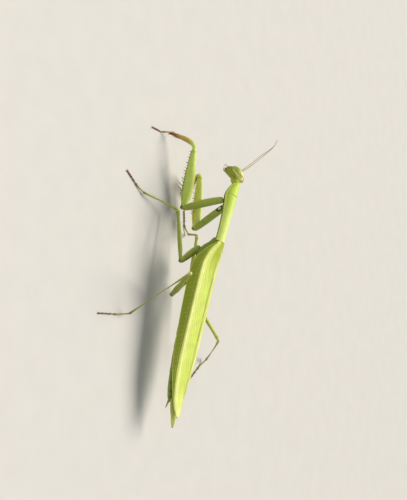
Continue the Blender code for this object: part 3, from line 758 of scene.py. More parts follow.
# %% The trunk
TRUNK = [(-1.2, 14.2, 0.9, 0.8), (0.0, 13.4, 1.35, 1.3), (1.0, 12.3, 2.0, 1.6), (2.5, 11.3, 2.45, 1.8),
         (5.0, 10.8, 2.6, 1.8), (8.0, 10.25, 2.7, 1.8), (10.8, 9.75, 2.6, 1.65), (13.0, 9.5, 2.8, 1.65),
         (18.0, 8.85, 3.1, 1.65), (24.0, 8.13, 3.2, 1.5), (30.0, 7.5, 3.1, 1.25), (35.0, 6.95, 2.7, 1.05),
         (38.5, 6.55, 2.0, 0.85), (40.2, 6.35, 1.2, 0.6), (40.7, 6.3, 0.7, 0.4)]
PLATES = (12.0, 14.8, 17.8, 21.0, 24.4, 27.8, 31.0, 33.8, 36.2, 38.2, 39.6)
TRUNK_GREEN, BELLY_GREEN, PLATE_EDGE = linear("#7E8F34"), linear("#99A655"), linear("#4E5A1C")


def trunk():
    """Sections (half c, y, height + high s), scaled by 1 + (plate lift - side fold) / 2.5."""
    y = np.linspace(TRUNK[0][0], TRUNK[-1][0], 420)
    height, half, high = profile(TRUNK, y).T[:, :, None]
    angle = circle(96)
    grid = (len(y), len(angle))
    c, s = np.cos(angle), np.sin(angle)
    edge_distance = np.min(np.abs(y[:, None] - np.array(PLATES)), axis=1)[:, None]
    since = y[:, None] - np.array((TRUNK[0][0], *PLATES))
    since = np.where(since < 0, 99, since).min(axis=1)[:, None]
    in_abdomen = step(y, 11, 12.5)[:, None]
    lift = in_abdomen * (0.03 * since - 0.10 * bell(edge_distance, 0.13))
    fold = 0.16 * bell(s + 0.12, 0.10) * in_abdomen
    scale = 1 + (lift - fold) / 2.5
    points = np.stack([half * c * scale, np.broadcast_to(y[:, None], grid), height + high * s * scale],
                      axis=-1)
    colour = layered(TRUNK_GREEN, grid, (BELLY_GREEN, step(-s, 0.1, 0.8) * np.ones((len(y), 1))),
                     (PLATE_EDGE, 0.7 * in_abdomen * bell(edge_distance, 0.16) * np.ones(len(angle))),
                     (PALE_LINE, 0.35 * in_abdomen * bell(s + 0.02, 0.07)))
    return closed_tube(points, colour)


def cercus(side):
    """A tapering tail of eleven rings."""
    line = path([(side * 0.75, 40.2, 6.2), (side * 1.05, 41.3, 6.0), (side * 1.25, 42.3, 5.76)], 90)
    along = np.linspace(0, 1, 90)
    half = (0.30 - 0.18 * along) * (1 + 0.12 * np.abs(np.sin(math.pi * 11 * along)))
    return tube(line, (1, 0, 0), half, half, mix(TRUNK_GREEN, FEELER_STRAW, along)[:, None], sides=18)


make_piece("trunk", [one_skin([trunk(), cercus(1), cercus(-1)], voxel=0.11)], TRUNK_CUTICLE,
           ("thorax", "abdomen_front", "abdomen_rear", "cercus_left", "cercus_right"))

# %% [markdown]
# ## The fore wings
# At rest the leathery fore wings lie flat over the back, the left one over the right, and their front
# margin is turned down the side as a narrow strip. A strong vein runs along this crease. The others leave
# the base like the ribs of a fan and sweep back to the inner edge. The wing is a thin closed sheet on a
# grid of (along, across), its fold eased by a small bell curve. Each vein is a slender tube centred on
# the upper face, so half of it stands clear and catches light as a real one does.

# %% Wing surface
WING_BASE_Z, WING_TIP = 14.45, (44.6, 8.1)
WING_TIP_LIFT = (0.9, 0.8)         # the tip rises by this much, beginning at this share of the length
WING_BASE_LIFT = (-0.4, 1.5, 0.18)
WING_OUTLINE = [(0.0, 1.4, 0.35), (0.05, 2.6, 1.0), (0.11, 3.4, 2.2), (0.2, 3.65, 2.8), (0.35, 3.7, 2.7),
                (0.53, 3.66, 2.2), (0.67, 3.6, 1.6), (0.82, 2.85, 0.7), (0.92, 1.9, 0.3), (0.97, 1.1, 0.12),
                (1.0, 0.25, 0.03)]
COSTAL_FLARE, OVERLAP, UNDERLAP_DROP = 0.9, 1.5, 0.68
CREASE_AT = 0.7                    # the fold's place across the wing, from 0 at the inner edge to 1
RIGHT_WING_LENGTH = 0.985
WING_THICKNESS = 0.10

back_line = np.array([0.0, WING_TIP[0], WING_TIP[1] - WING_BASE_Z])
BACK_UP = np.cross((1.0, 0.0, 0.0), unit(back_line))


def back_points(along):
    """Points of the back line: straight to the tip, with base and tip moved by a lift times a square."""
    shift, lift, fade = WING_BASE_LIFT
    share = np.maximum(0, 1 - np.asarray(along) / fade)[..., None] ** 2
    tip_lift, tip_from = WING_TIP_LIFT
    rise = tip_lift * np.clip((np.asarray(along) - tip_from) / (1 - tip_from), 0, 1)[..., None] ** 2
    return (np.array([0.0, 0.0, WING_BASE_Z]) + np.asarray(along)[..., None] * back_line
            + share * np.array([shift, 0, lift]) + rise * np.array([0, 0, 1.0]))


def wing_points(side, along, across):
    """Points of the wing's upper face at any pairs of (along, across), all in one go.

    Inside the crease: sideways distance x grows evenly and the sheet falls by a quarter of (x / half)
    squared. Outside it the sheet turns down by the drop while it flares out by 0.9 mm.
    """
    along, across = np.broadcast_arrays(np.asarray(along, dtype=float), np.asarray(across, dtype=float))
    outline = profile(WING_OUTLINE, along.ravel()).reshape(*along.shape, 2)
    half, drop = outline[..., 0], outline[..., 1]
    inner = -np.minimum(OVERLAP, 0.8 * half)
    flat = np.minimum(across / CREASE_AT, 1)
    turn = np.maximum(across - CREASE_AT, 0) / (1 - CREASE_AT)
    x = inner + (half - inner) * flat + COSTAL_FLARE * np.minimum(1, drop) * turn
    fall = 0.25 * np.minimum(x / half, 1) ** 2 + drop * turn
    soft = 0.16 * bell(across - CREASE_AT, 0.03) * np.minimum(1, drop)
    fall = fall + soft
    if side < 0:
        fall = fall + UNDERLAP_DROP * (1 - step(x, OVERLAP + 0.1, OVERLAP + 1.3))
    reach = along * (1.0 if side > 0 else RIGHT_WING_LENGTH)
    return back_points(reach) + np.stack([side * x, 0 * x, 0 * x], axis=-1) - fall[..., None] * BACK_UP


# %% Veins
CREASE_VEIN = 0.69
VEIN_SHARE = 0.75                  # the veins are drawn at this share of their listed thickness


def vein_routes():
    """Every long vein of a wing as (points of (along, across), half thickness in mm)."""
    routes = [([(0.01, CREASE_VEIN), (0.5, CREASE_VEIN), (0.985, 0.66)], 0.10),
              ([(0.02, 0.985), (0.3, 0.99), (0.7, 0.99), (0.97, 0.97)], 0.07),
              ([(0.02, 0.78), (0.3, 0.80), (0.6, 0.80), (0.8, 0.84)], 0.05),
              ([(0.01, 0.006), (0.3, 0.006), (0.7, 0.006), (0.98, 0.03)], 0.06),
              ([(0.0, 0.42), (0.12, 0.30), (0.26, 0.12), (0.38, 0.01)], 0.08),
              ([(0.01, 0.62), (0.3, 0.61), (0.6, 0.58), (0.96, 0.45)], 0.07),
              ([(0.30, 0.61), (0.5, 0.54), (0.7, 0.46), (0.95, 0.30)], 0.055),
              ([(0.55, CREASE_VEIN), (0.7, 0.64), (0.85, 0.60), (0.975, 0.56)], 0.055)]
    for k in range(6):
        start, end = 0.02 + 0.085 * k, 0.47 + 0.085 * k
        routes.append(([(start, 0.56 - 0.006 * k), (start + 0.16, 0.44), (start + 0.32, 0.20), (end, 0.01)],
                       0.055))
    for k in range(3):
        routes.append(([(0.0, 0.31 - 0.09 * k), (0.10 - 0.02 * k, 0.2 - 0.06 * k), (0.30 - 0.07 * k, 0.008)],
                       0.05))
    for along in np.linspace(0.05, 0.86, 34):
        routes.append(([(along, 0.715), (along + 0.014, 0.86), (along + 0.022, 0.975)], 0.03))
    return routes


def vein_shapes(side, colour):
    """A thin six-sided tube laid along each route on the wing's upper face."""
    shapes = []
    for points, half in vein_routes():
        count = max(8, int(100 * abs(points[-1][0] - points[0][0])))
        route = path(points, count)
        line = wing_points(side, route[:, 0], route[:, 1])
        taper = VEIN_SHARE * half * (1 - 0.35 * np.linspace(0, 1, count))
        shapes.append(tube(line, (1, 0, 0), taper, taper, colour, sides=6))
    return shapes


# %% Fore wings
WING_GREEN, WING_YELLOW = linear("#BECE54"), linear("#DFE186")
STRIP_PAINTED_SHADE, WING_VEIN, WING_BASE_GREEN = linear("#8A9516"), linear("#C4D05E"), linear("#A3B02A")


def fore_wing(side):
    """Upper face, then the same points lowered by the thickness in reverse order, as one ring a station."""
    along = np.concatenate([np.linspace(0, 0.93, 190), np.linspace(0.935, 1.0, 30)])
    across = np.concatenate([[0, 0.003, 0.01], np.linspace(0.02, 0.66, 46), np.linspace(0.67, 0.75, 12),
                             np.linspace(0.77, 0.98, 14), [0.99, 0.997, 1.0]])
    top = wing_points(side, along[:, None], across[None])
    ripple = 0.012 * np.sin(across * 60 + 5 * np.sin(6 * along)[:, None]) * step(across, 0.02, 0.1)
    top = top + (ripple * (1 - step(across, 0.6, 0.7)))[..., None] * BACK_UP
    normal = np.cross(np.gradient(top, axis=0), np.gradient(top, axis=1))
    normal = unit(normal) * side
    bottom = top - normal * np.sign(np.sum(normal * BACK_UP, axis=-1, keepdims=True).mean()) * WING_THICKNESS
    points = np.concatenate([top, bottom[:, ::-1]], axis=1)
    field = np.concatenate([across, across[::-1]])[None] * np.ones((len(along), 1))
    reach = along[:, None] * np.ones(len(field[0]))
    # Painted shade: the strip turned down the side, from the crease outwards, is dark olive on both faces.
    colour = layered(WING_GREEN, field.shape, (WING_YELLOW, step(field, 0.35, 0.65)),
                     (WING_BASE_GREEN, (1 - step(reach, 0.0, 0.3)) * (1 - step(field, 0.3, 0.5))),
                     (STRIP_PAINTED_SHADE, step(field, 0.69, 0.76)), (WING_YELLOW, 0.6 * step(reach, 0.8, 1.0)),
                     (PALE_LINE, 0.3 * step(field, 0.975, 0.995)))
    return closed_tube(points, colour)


for side, name in ((1, "left"), (-1, "right")):
    make_piece(f"fore_wing_{name}", [fore_wing(side), *vein_shapes(side, WING_VEIN)], FORE_WING_LEATHER,
               (f"tegmen_{name}",), crease=50)

# %% [markdown]
# ## The hind wings
# The hind wings are folded like fans under the fore wings, and only their tips come out behind. Each is
# a stack of pleats: a thin sheet whose height goes up and down across the wing, nine times.

# %% Hind wings
HIND_WING_OUTLINE = [(0.90, 1.75, 1.25), (0.94, 1.6, 1.25), (1.0, 1.1, 1.05), (1.03, 0.8, 0.85),
                     (1.055, 0.3, 0.65)]
PLEATS, FILM_THICKNESS = 9, 0.08
FILM_STRAW, FILM_VEIN = linear("#C7CB74"), linear("#7E8A30")


def hind_wing(side):
    """Height of the sheet: a zigzag of 0.09 mm, the arcsine of a sine, over a shallow arch."""
    along = np.linspace(HIND_WING_OUTLINE[0][0], HIND_WING_OUTLINE[-1][0], 60)
    across = np.linspace(0, 1, 8 * PLEATS + 1)
    half, drop = profile(HIND_WING_OUTLINE, along).T[:, :, None]
    x = 0.06 + (half - 0.06) * across
    zigzag = 0.09 * np.arcsin(np.sin(math.pi * PLEATS * across)) * 2 / math.pi
    lower = drop + (0.12 if side < 0 else 0)
    height = zigzag - lower - 0.2 - 0.15 * across ** 2
    top = (back_points(along)[:, None] + np.stack([side * x, 0 * x, 0 * x], axis=-1)
           + height[..., None] * BACK_UP)
    points = np.concatenate([top, top[:, ::-1] - FILM_THICKNESS * BACK_UP], axis=1)
    ridge = np.concatenate([zigzag, zigzag[::-1]]) / 0.09
    colour = mix(FILM_STRAW, FILM_VEIN, 0.75 * step(ridge, 0.4, 1.0))
    return closed_tube(points, np.broadcast_to(colour, points.shape))


for side, name in ((1, "left"), (-1, "right")):
    make_piece(f"hind_wing_{name}", [hind_wing(side)], HIND_WING_FILM, (f"hindwing_{name}",),
               crease=35)

# %% [markdown]
# ## The legs
# Each leg has a hip joint piece (coxa), a small trochanter fused to the thigh (femur), a shin (tibia) and
# a foot of five short pieces (tarsus). The front pair are the traps: their thighs are deep and flat, and
# both thigh and shin carry rows of spines that close like a gin. Every segment is a tube swept along a
# slightly bowed line between two joints, and hips, knees and ankles stand where the solids' do. The girth
# tables are this file's own: middle and hind legs get a swollen knee and a thinner shin than the solids
# have. Rounded ends overlap at the joints, and one skin is drawn over them all.

# %% Leg tables
LEGS = {
    "fore_left": [(0.5, -11.1, 15.0), (0.37, -9.6, 2.95), (4.1, -24.6, 6.8), (7.7, -27.5, 2.3)],
    "fore_right": [(-2.6, -10.9, 15.0), (-4.6, -5.3, 4.1), (-1.2, -19.1, 6.1), (-3.4, -15.0, 1.9)],
    "mid_left": [(1.6, 1.6, 10.6), (4.6, 6.1, 7.1), (4.8, -7.6, 4.6), (15.2, -9.2, 0.7)],
    "mid_right": [(-1.6, 1.6, 10.6), (-3.8, 7.6, 5.2), (-1.9, -2.5, 7.0), (-7.2, -4.8, 0.75)],
    "hind_left": [(1.6, 8.4, 9.0), (3.9, 14.4, 5.2), (15.6, 12.0, 17.7), (15.7, 21.8, 1.7)],
    "hind_right": [(-1.6, 8.4, 9.0), (-5.3, 11.0, 4.0), (-8.4, 23.5, 13.0), (-22.8, 26.2, 1.2)],
}
FEET = {
    "fore_left": [(10.4, -27.4), (14.5, -27.0)], "fore_right": [(-3.9, -17.6), (-3.5, -21.5)],
    "mid_left": [(17.6, -10.2), (22.4, -12.5)], "mid_right": [(-5.7, -6.6), (-4.6, -10.6)],
    "hind_left": [(18.2, 22.5), (25.8, 23.9)], "hind_right": [(-21.6, 28.0), (-16.2, 33.4)],
}
FORE_GIRTH = [(0.0, 0.75, 0.85), (0.4, 0.85, 1.0), (0.9, 0.7, 0.8), (1.0, 0.6, 0.65), (1.08, 0.7, 0.8),
              (1.18, 0.95, 1.25), (1.4, 1.05, 1.45), (1.7, 0.85, 1.15), (1.93, 0.6, 0.75), (2.0, 0.5, 0.55),
              (2.2, 0.5, 0.6), (2.8, 0.4, 0.5), (3.0, 0.35, 0.4)]
MID_GIRTH = [(0.0, 0.7, 0.8), (0.4, 0.75, 0.9), (0.9, 0.6, 0.6), (1.0, 0.45, 0.45), (1.3, 0.55, 0.6),
             (1.9, 0.42, 0.5), (1.97, 0.46, 0.52), (2.0, 0.38, 0.42), (2.1, 0.30, 0.33), (2.9, 0.27, 0.29),
             (3.0, 0.30, 0.32)]
HIND_GIRTH = [(0.0, 0.7, 0.8), (0.4, 0.75, 0.9), (0.9, 0.6, 0.65), (1.0, 0.5, 0.5), (1.25, 0.75, 0.9),
              (1.6, 0.5, 0.6), (1.9, 0.42, 0.48), (1.97, 0.46, 0.52), (2.0, 0.38, 0.42), (2.1, 0.29, 0.32),
              (2.95, 0.26, 0.28), (3.0, 0.30, 0.32)]
GIRTHS = {"fore": FORE_GIRTH, "mid": MID_GIRTH, "hind": HIND_GIRTH}
BOW = {"fore": (0.2, 0.3, 0.8), "mid": (0.2, 0.2, 0.2), "hind": (0.2, 0.3, 0.15)}
SOLE, TARSUS_OFFSET = 0.24, 0.6

# Leg shade is painted shade on coxae and thighs; leg pale is painted light on coxae and thighs, and the real
# colour of the spines' roots.
LEG_GREEN, LEG_SHADE, LEG_PALE_AND_PAINTED_LIGHT = linear("#A9B44C"), linear("#6B7418"), linear("#D6D676")
FORE_GREEN = linear("#BDD05C")
SHIN_OLIVE, SHIN_OCHRE, FOOT_BROWN = linear("#95A23E"), linear("#C2A04A"), linear("#6E4638")
CLAW_RED, KNEE_PALE, INNER_YELLOW = linear("#8B4A34"), linear("#D3CF86"), linear("#D2C238")
INNER_ORANGE, SPOT_BLACK, SPOT_PALE = linear("#C4722C"), linear("#17150F"), linear("#D9DDA0")
SPINE_TIP = linear("#1D1712")
HOOK_RED = linear("#8B3F2E")
SPOT_AT = 0.2                      # how far down the front coxa its ringed spot lies
SPUR_AT = 0.985                    # how far down thigh and shin their spurs stand


def leg_axes(name):
    """Joints of a leg as arrays, the direction square to the leg's plane, and thigh and shin directions."""
    joints = np.array(LEGS[name])
    thigh, shin = unit(joints[2] - joints[1]), unit(joints[3] - joints[2])
    return joints, unit(np.cross(thigh, shin)), thigh, shin


def segment_line(joints, k, plane, bow, count, before=0.15, after=0.15):
    """Straight line between joints k and k + 1, run on a little at both ends, plus bow sin(pi t^0.65)."""
    length = np.linalg.norm(joints[k + 1] - joints[k])
    t = np.linspace(-before / length, 1 + after / length, count)
    way = (joints[k + 1] - joints[k]) / length
    outer = np.cross(way, plane)
    arch = bow * np.sin(math.pi * np.clip(t, 0, 1) ** 0.65)
    line = joints[k] + t[:, None] * length * way + arch[:, None] * outer
    return line, np.clip(t, 0, 1)


# %% Foot
FOOT_PIECES = (0.0, 0.44, 0.62, 0.76, 0.87, 1.0)


def foot_route(name):
    """From the ankle down to the floor, then along it; the foot of a front leg starts beside the shin."""
    joints, plane, _, shin = leg_axes(name)
    ankle = joints[3]
    if name.startswith("fore"):
        ankle = ankle - np.cross(plane, shin) * TARSUS_OFFSET
    (x1, y1), (x2, y2) = FEET[name]
    landing, far = np.array([x1, y1, SOLE + 0.06]), np.array([x2, y2, SOLE])
    return path([ankle, landing, (landing + far) / 2, far], 120)


def foot(name):
    """Half width 0.15 to 0.25 mm, with one swelling at the far end of each of the five pieces."""
    line = foot_route(name)
    lengths = np.concatenate([[0], np.cumsum(np.linalg.norm(np.diff(line, axis=0), axis=1))])
    along = lengths / lengths[-1]
    ends = np.array(FOOT_PIECES)
    i = np.clip(np.searchsorted(ends, along, side="right") - 1, 0, 4)
    within = (along - ends[i]) / (ends[i + 1] - ends[i])
    half = 0.15 + 0.10 * within ** 2 * (1 - step(within, 0.93, 1.0)) + 0.03 * (i == 0)
    dark = np.clip(0.35 + 0.3 * i + 0.5 * step(within, 0.6, 1.0), 0, 1)
    colour = mix(SHIN_OCHRE if name.startswith("fore") else SHIN_OLIVE, FOOT_BROWN, dark)
    shape = tube(line, (1, 0.3, 0), half, half * 0.92, colour[:, None], sides=18)
    shape[0][:, 2] = np.maximum(shape[0][:, 2], 0.0)
    return shape


# %% Leg shells
def leg_colours(kind, k, t, inner, outer):
    """Colours over a segment: t runs along it; inner and outer (-1 to 1) face midline and back of leg."""
    t, inner, outer = np.broadcast_arrays(t[:, None], inner, outer)
    base = np.broadcast_to(FORE_GREEN if kind == "fore" else LEG_GREEN, (*t.shape, 3))
    if k == 0:
        # Painted shade darkens the whole coxa, and painted light pales a line along its outer side.
        colour = mix(mix(base, LEG_SHADE, 0.55), LEG_PALE_AND_PAINTED_LIGHT, 0.4 * bell(outer - 1, 0.25))
        if kind == "fore":
            spot = np.hypot((t - SPOT_AT) * 6.0, outer * 0.8) + 2 * (1 - step(inner, 0.0, 0.3))
            colour = mix(colour, SPOT_BLACK, 1 - step(spot, 0.50, 0.60))
            colour = mix(colour, SPOT_PALE, 1 - step(spot, 0.24, 0.30))
        return colour
    if k == 1:
        # Painted shade darkens the thigh's inner face and painted light pales its outer face.
        colour = mix(base, LEG_SHADE, (0.15 if kind == "fore" else 0.45) * step(-outer, 0.0, 0.8))
        colour = mix(colour, LEG_PALE_AND_PAINTED_LIGHT, 0.45 * step(outer, 0.2, 1.0))
        if kind == "fore":
            colour = mix(colour, INNER_YELLOW, 0.85 * step(inner, 0.0, 0.5) * (1 - step(outer, 0.1, 0.6)))
            dot = np.hypot((t - 0.32) * 11, outer) + 2 * (1 - step(inner, 0.2, 0.5))
            colour = mix(colour, INNER_ORANGE, 0.8 * (1 - step(dot, 0.15, 0.35)))
        colour = mix(colour, KNEE_PALE, 0.5 * step(t, 0.95, 0.99))
        return mix(colour, FOOT_BROWN, 0.4 * bell(t - 0.945, 0.01))
    colour = mix(np.broadcast_to(SHIN_OLIVE, (*t.shape, 3)), SHIN_OCHRE, 0.3 * step(outer, 0.0, 1.0))
    if kind == "fore":
        colour = mix(mix(base, SHIN_OCHRE, step(t, 0.05, 0.5)), CLAW_RED, step(t, 0.7, 1.0))
        return mix(colour, INNER_YELLOW, 0.3 * step(outer, 0.3, 1.0) * (1 - t))
    colour = mix(colour, KNEE_PALE, 0.5 * (1 - step(t, 0.02, 0.06)))
    return mix(colour, FOOT_BROWN, 0.6 * step(t, 0.88, 1.0))


def leg_shapes(name):
    """Three segments with a soft three-sided ridge, the foot, and a ball for the trochanter."""
    kind, side = name.split("_")
    turn = 1 if side == "left" else -1
    joints, plane, _, _ = leg_axes(name)
    sides = 40
    angle = circle(sides)
    outer_sign = -math.copysign(1, fold_side(name))
    shapes = []
    for k in range(3):
        line, t = segment_line(joints, k, plane, BOW[kind][k], 90)
        a, b = profile(GIRTHS[kind], k + np.clip(t, 0.001, 0.999)).T
        ridge = 1 + 0.06 * np.cos(3 * angle)
        inner = np.cos(angle) * np.sign(plane[0]) * -turn
        colour = leg_colours(kind, k, t, inner, np.sin(angle) * outer_sign)
        shapes.append(tube(line, plane, a[:, None] * ridge, b[:, None] * ridge, colour, sides=sides))
    shapes.append(foot(name))
    trochanter = joints[1] + 0.35 * unit(joints[2] - joints[1])
    girth = profile(GIRTHS[kind], [1.02])[0]
    shapes.append(ball(trochanter, (1.15 * girth[0], 1.15 * girth[0], 1.15 * girth[1]), LEG_SHADE))
    return shapes


# %% [markdown]
# ### Spines, claws and hairs
# The trap's spines stand in rows along the under side of the thigh: four long ones outside, a close row
# of long and short ones inside, and two very long ones in the middle, near the place where the claw of
# the shin folds to. The shin has two rows of leaning teeth. The other legs have three spurs at the far
# end of thigh and shin, and fine short hairs. All are thin bent cones, made many at once.

# %% Spines and hairs
def rows_on(name, k, stations, angle_degrees, sunk=0.9):
    """Points on a segment's skin at given stations and one angle round it, with the outward directions."""
    kind = name.split("_")[0]
    joints, plane, _, _ = leg_axes(name)
    line, t = segment_line(joints, k, plane, BOW[kind][k], 90)
    a, b = profile(GIRTHS[kind], k + np.clip(t, 0.001, 0.999)).T
    ways, across, up = sections(line, plane)
    angle = np.radians(angle_degrees)
    pick = np.clip(np.round(np.interp(stations, t, np.arange(90))).astype(int), 0, 89)
    out = across[pick] * np.cos(angle)[..., None] + up[pick] * np.sin(angle)[..., None]
    skin = (line[pick] + across[pick] * (a[pick] * np.cos(angle))[:, None] * sunk
            + up[pick] * (b[pick] * np.sin(angle))[:, None] * sunk)
    return skin, out, ways[pick]


def fold_side(name):
    """Angle round the thigh that faces the folded shin: 90 or -90 degrees."""
    joints, plane, _, shin = leg_axes(name)
    _, _, up = sections(joints[1:3], plane)
    return 90.0 if np.dot(up[0], shin) > 0 else -90.0


def trap_spines(name):
    """All the spines of a front leg: three rows on the thigh, two on the shin, one on the coxa.

    A row is (segment, stations, angle, lean, lengths, width, colours, bend along out and ways, dark from).
    """
    under = fold_side(name)
    inner, shin, weak = np.linspace(0.28, 0.93, 15), np.linspace(0.22, 0.94, 11), np.linspace(0.22, 0.94, 13)
    sizes = np.where(np.arange(15) % 2 == 0, 0.95, 0.55) * (1 - 0.35 * (inner - 0.28))
    pale, black = (LEG_PALE_AND_PAINTED_LIGHT, SPINE_TIP), (SPINE_TIP, SPINE_TIP)
    ochre, brown = (SHIN_OCHRE, SPINE_TIP), (LEG_PALE_AND_PAINTED_LIGHT, FOOT_BROWN)
    rows = [(1, np.array([0.34, 0.47, 0.60, 0.73]), under + 26, 0.25, (1.0, 1.25, 1.2, 0.95), 0.16, pale,
             (0, 0.25), 0.35),
            (1, inner, under - 26, 0.2, sizes, 0.13, black, (0, 0.2), 0.45),
            (1, np.array([0.22, 0.29, 0.36, 0.42]), under + 2, 0.5, (0.8, 2.2, 2.4, 0.9), 0.15, pale,
             (0, 0.25), 0.25),
            (2, shin, under + 30, 0.8, 0.6 * (0.6 + 0.7 * shin), 0.10, ochre, (-0.15, 0), 0.25),
            (2, weak, under - 30, 0.8, 0.5 * (0.6 + 0.7 * weak), 0.10, ochre, (-0.15, 0), 0.25),
            (0, np.linspace(0.12, 0.9, 9), -under, 0, 0.22, 0.07, brown, (0, 0), 0.6)]
    shapes = []
    for k, at, angle, lean, lengths, width, (base, tip), (outwards, onwards), dark_from in rows:
        roots, out, ways = rows_on(name, k, at, np.full(len(at), angle))
        shapes.append(thorns(roots, out + lean * ways, lengths, width, base, tip,
                             bend=outwards * out + onwards * ways, dark_from=dark_from))
    return shapes


def spurs(name):
    """Three short spurs round the far end of thigh and shin."""
    shapes = []
    for k in (1, 2):
        roots, out, ways = rows_on(name, k, np.full(3, SPUR_AT), np.array([60.0, -90.0, 120.0]))
        shapes.append(thorns(roots, 0.6 * out + ways, (0.42, 0.5, 0.42), 0.06, KNEE_PALE, SPINE_TIP))
    return shapes


def hairs(name, rng):
    """Fine bristles: random places along and round coxa, thigh and shin, leaning towards the foot."""
    shapes = []
    for k, count, size in ((0, 26, 0.16), (1, 90, 0.16), (2, 150, 0.26)):
        at = rng.uniform(0.04, 0.97, count)
        roots, out, ways = rows_on(name, k, at, rng.uniform(0, 360, count), sunk=0.95)
        lengths = size * rng.uniform(0.6, 1.3, count)
        shapes.append(thorns(roots, out + 0.9 * ways, lengths, 0.018, LEG_SHADE, SPINE_TIP, sides=3, rings=2,
                             dark_from=0.2))
    return shapes


def feet_claws(name):
    """Two hooks at the end of the foot, spreading and curving down."""
    line = foot_route(name)
    way = unit(line[-1] - line[-8])
    side = unit(np.cross(way, (0, 0, 1)))
    roots = line[-2] + np.array([side, -side]) * 0.08 + [0, 0, 0.06]
    directions = np.array([way + 0.5 * side, way - 0.5 * side]) + [0, 0, 0.25]
    return thorns(roots, directions, 0.55, 0.075, FOOT_BROWN, SPINE_TIP, bend=(0, 0, -0.45), sides=8,
                  rings=7)


def trap_claw(side):
    """The hook at the end of a front shin, along a quarter turn towards the thigh."""
    joints, plane, _, shin = leg_axes(f"fore_{side}")
    inward = np.cross(plane, shin)
    root = joints[3] - 0.1 * shin + inward * 0.1
    line = path([root, root + 0.65 * shin + 0.12 * inward, root + 1.15 * shin + 0.42 * inward,
                 root + 1.45 * shin + 0.85 * inward], 40)
    line[:, 2] = np.maximum(line[:, 2], 0.16)
    half = 0.33 * (1 - np.linspace(0, 1, 40) ** 1.5) + 0.02
    colour = mix(HOOK_RED, SPINE_TIP, step(np.linspace(0, 1, 40), 0.4, 0.95))
    shape = tube(line, plane, half * 0.8, half, colour[:, None], sides=16)
    shape[0][:, 2] = np.maximum(shape[0][:, 2], 0.0)
    return shape


# %% Make the legs
HAIR_SEED = 11
rng = np.random.default_rng(HAIR_SEED)
for name in LEGS:
    kind, side = name.split("_")
    nodes = [f"{kind}_{segment}_{side}" for segment in ("coxa", "femur", "tibia", "tarsus")]
    make_piece(f"{name}_leg", [one_skin(leg_shapes(name), voxel=0.065)], LEG_CUTICLE, nodes)
    bristles = trap_spines(name) if kind == "fore" else spurs(name)
    make_piece(f"{name}_spines", [*bristles, *hairs(name, rng)], LEG_CUTICLE)
    make_piece(f"{name}_foot_claws", [feet_claws(name)], FOOT_CUTICLE)
for side in ("left", "right"):
    make_piece(f"fore_{side}_hook", [trap_claw(side)], FOOT_CUTICLE, (f"fore_claw_{side}",))

# %% [markdown]
# ## Studio
# The floor is a plain pale board. A broad soft sun shines from in front of the insect and above its right
# side; being far away, it lights the whole floor evenly. A weak square lamp fills from the left, and the
# world adds an even grey. The camera looks down on the left flank and back with a short telephoto lens,
# rolled so that the body stands nearly upright in the frame.

# %% Floor
def floor_material():
    """Matt painted board: off-white with a faint mottle a few millimetres across."""
    material = bpy.data.materials.new("matt painted board")
    material.use_nodes = True
    tree = material.node_tree
    surface = tree.nodes["Principled BSDF"]
    surface.inputs["Roughness"].default_value = 0.8
    place = add(tree, "ShaderNodeTexCoord").outputs["Object"]
    mottle = add(tree, "ShaderNodeTexNoise", None, {"Vector": place, "Scale": 1 / (6 * MM), "Detail": 4.0})
    ramp = add(tree, "ShaderNodeMix", {"data_type": "RGBA"}, {0: mottle.outputs["Fac"]})
    ramp.inputs[6].default_value = (*linear("#BDBAB4"), 1)
    ramp.inputs[7].default_value = (*linear("#C4C1BB"), 1)
    tree.links.new(ramp.outputs[2], surface.inputs["Base Color"])
    return material


FLOOR_HALF = 3.0
floor_mesh = bpy.data.meshes.new("floor")
floor_mesh.from_pydata([(-FLOOR_HALF, -FLOOR_HALF, 0), (FLOOR_HALF, -FLOOR_HALF, 0),
                        (FLOOR_HALF, FLOOR_HALF, 0), (-FLOOR_HALF, FLOOR_HALF, 0)], [], [(0, 1, 2, 3)])
floor_mesh.materials.append(floor_material())
floor = placed("floor", floor_mesh)


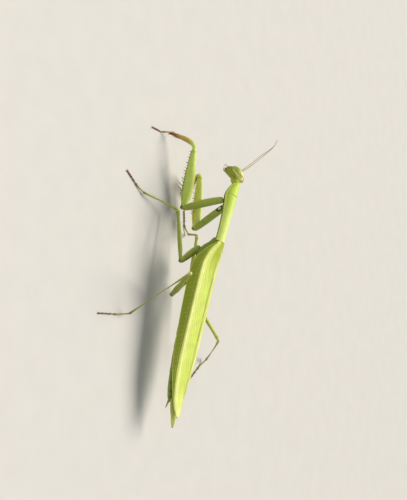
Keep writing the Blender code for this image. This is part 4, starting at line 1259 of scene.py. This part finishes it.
# %% Lights
def shine(name, kind, place, aim, **settings):
    """A lamp that looks from its place towards a point, in metres."""
    light = bpy.data.lights.new(name, kind)
    for key, value in settings.items():
        setattr(light, key, value)
    lamp = placed(name, light)
    lamp.location = place
    lamp.rotation_euler = (Vector(aim) - Vector(place)).to_track_quat("-Z", "Y").to_euler()


SUN_SPREAD = math.radians(38)      # the wider the sun, the softer its shadows
shine("sun", "SUN", (-0.24, -0.16, 0.42), (0, 0, 0), energy=3.9, angle=SUN_SPREAD, color=(1.0, 0.96, 0.88))
shine("fill", "AREA", (0.45, 0.10, 0.25), (0, 0, 0.01), shape="SQUARE", size=0.35, energy=0.5,
      color=(0.92, 0.96, 1.0))
bpy.context.scene.view_settings.view_transform = "Standard"
world = bpy.data.worlds.new("studio")
bpy.context.scene.world = world
world.use_nodes = True
sky = world.node_tree.nodes["Background"].inputs
sky["Color"].default_value, sky["Strength"].default_value = (*linear("#DDE0E4"), 1), 0.5

# %% Camera
CAMERA_PLACE = np.array([200.3, 61.8, 137.28])
CAMERA_RIGHT = np.array([-0.51735, -0.11570, 0.84792])
CAMERA_BACK = np.array([0.82104, 0.21233, 0.52992])
LENS_MM, SENSOR_MM = 69.2, 36.0
AIM_RIGHT, AIM_UP = 0.013, 0.03255  # tangents by which the view turns from the chosen axis


def aim_camera():
    """The camera's own axes turned by the aim tangents, as a matrix in the frame's metres."""
    up = np.cross(CAMERA_BACK, CAMERA_RIGHT)
    ahead = unit(-CAMERA_BACK + AIM_RIGHT * CAMERA_RIGHT + AIM_UP * up)
    right = unit(CAMERA_RIGHT - (CAMERA_RIGHT @ ahead) * ahead)
    turn = np.eye(4)
    turn[:3, 0], turn[:3, 1], turn[:3, 2] = right, np.cross(-ahead, right), -ahead
    turn[:3, 3] = (CAMERA_PLACE - LAYOUT_CENTRE) * MM
    return Matrix(turn)


lens = bpy.data.cameras.new("camera")
lens.lens, lens.sensor_width, lens.clip_start = LENS_MM, SENSOR_MM, 0.01
camera = placed("camera", lens)
camera.matrix_world = aim_camera()
bpy.context.scene.camera = camera
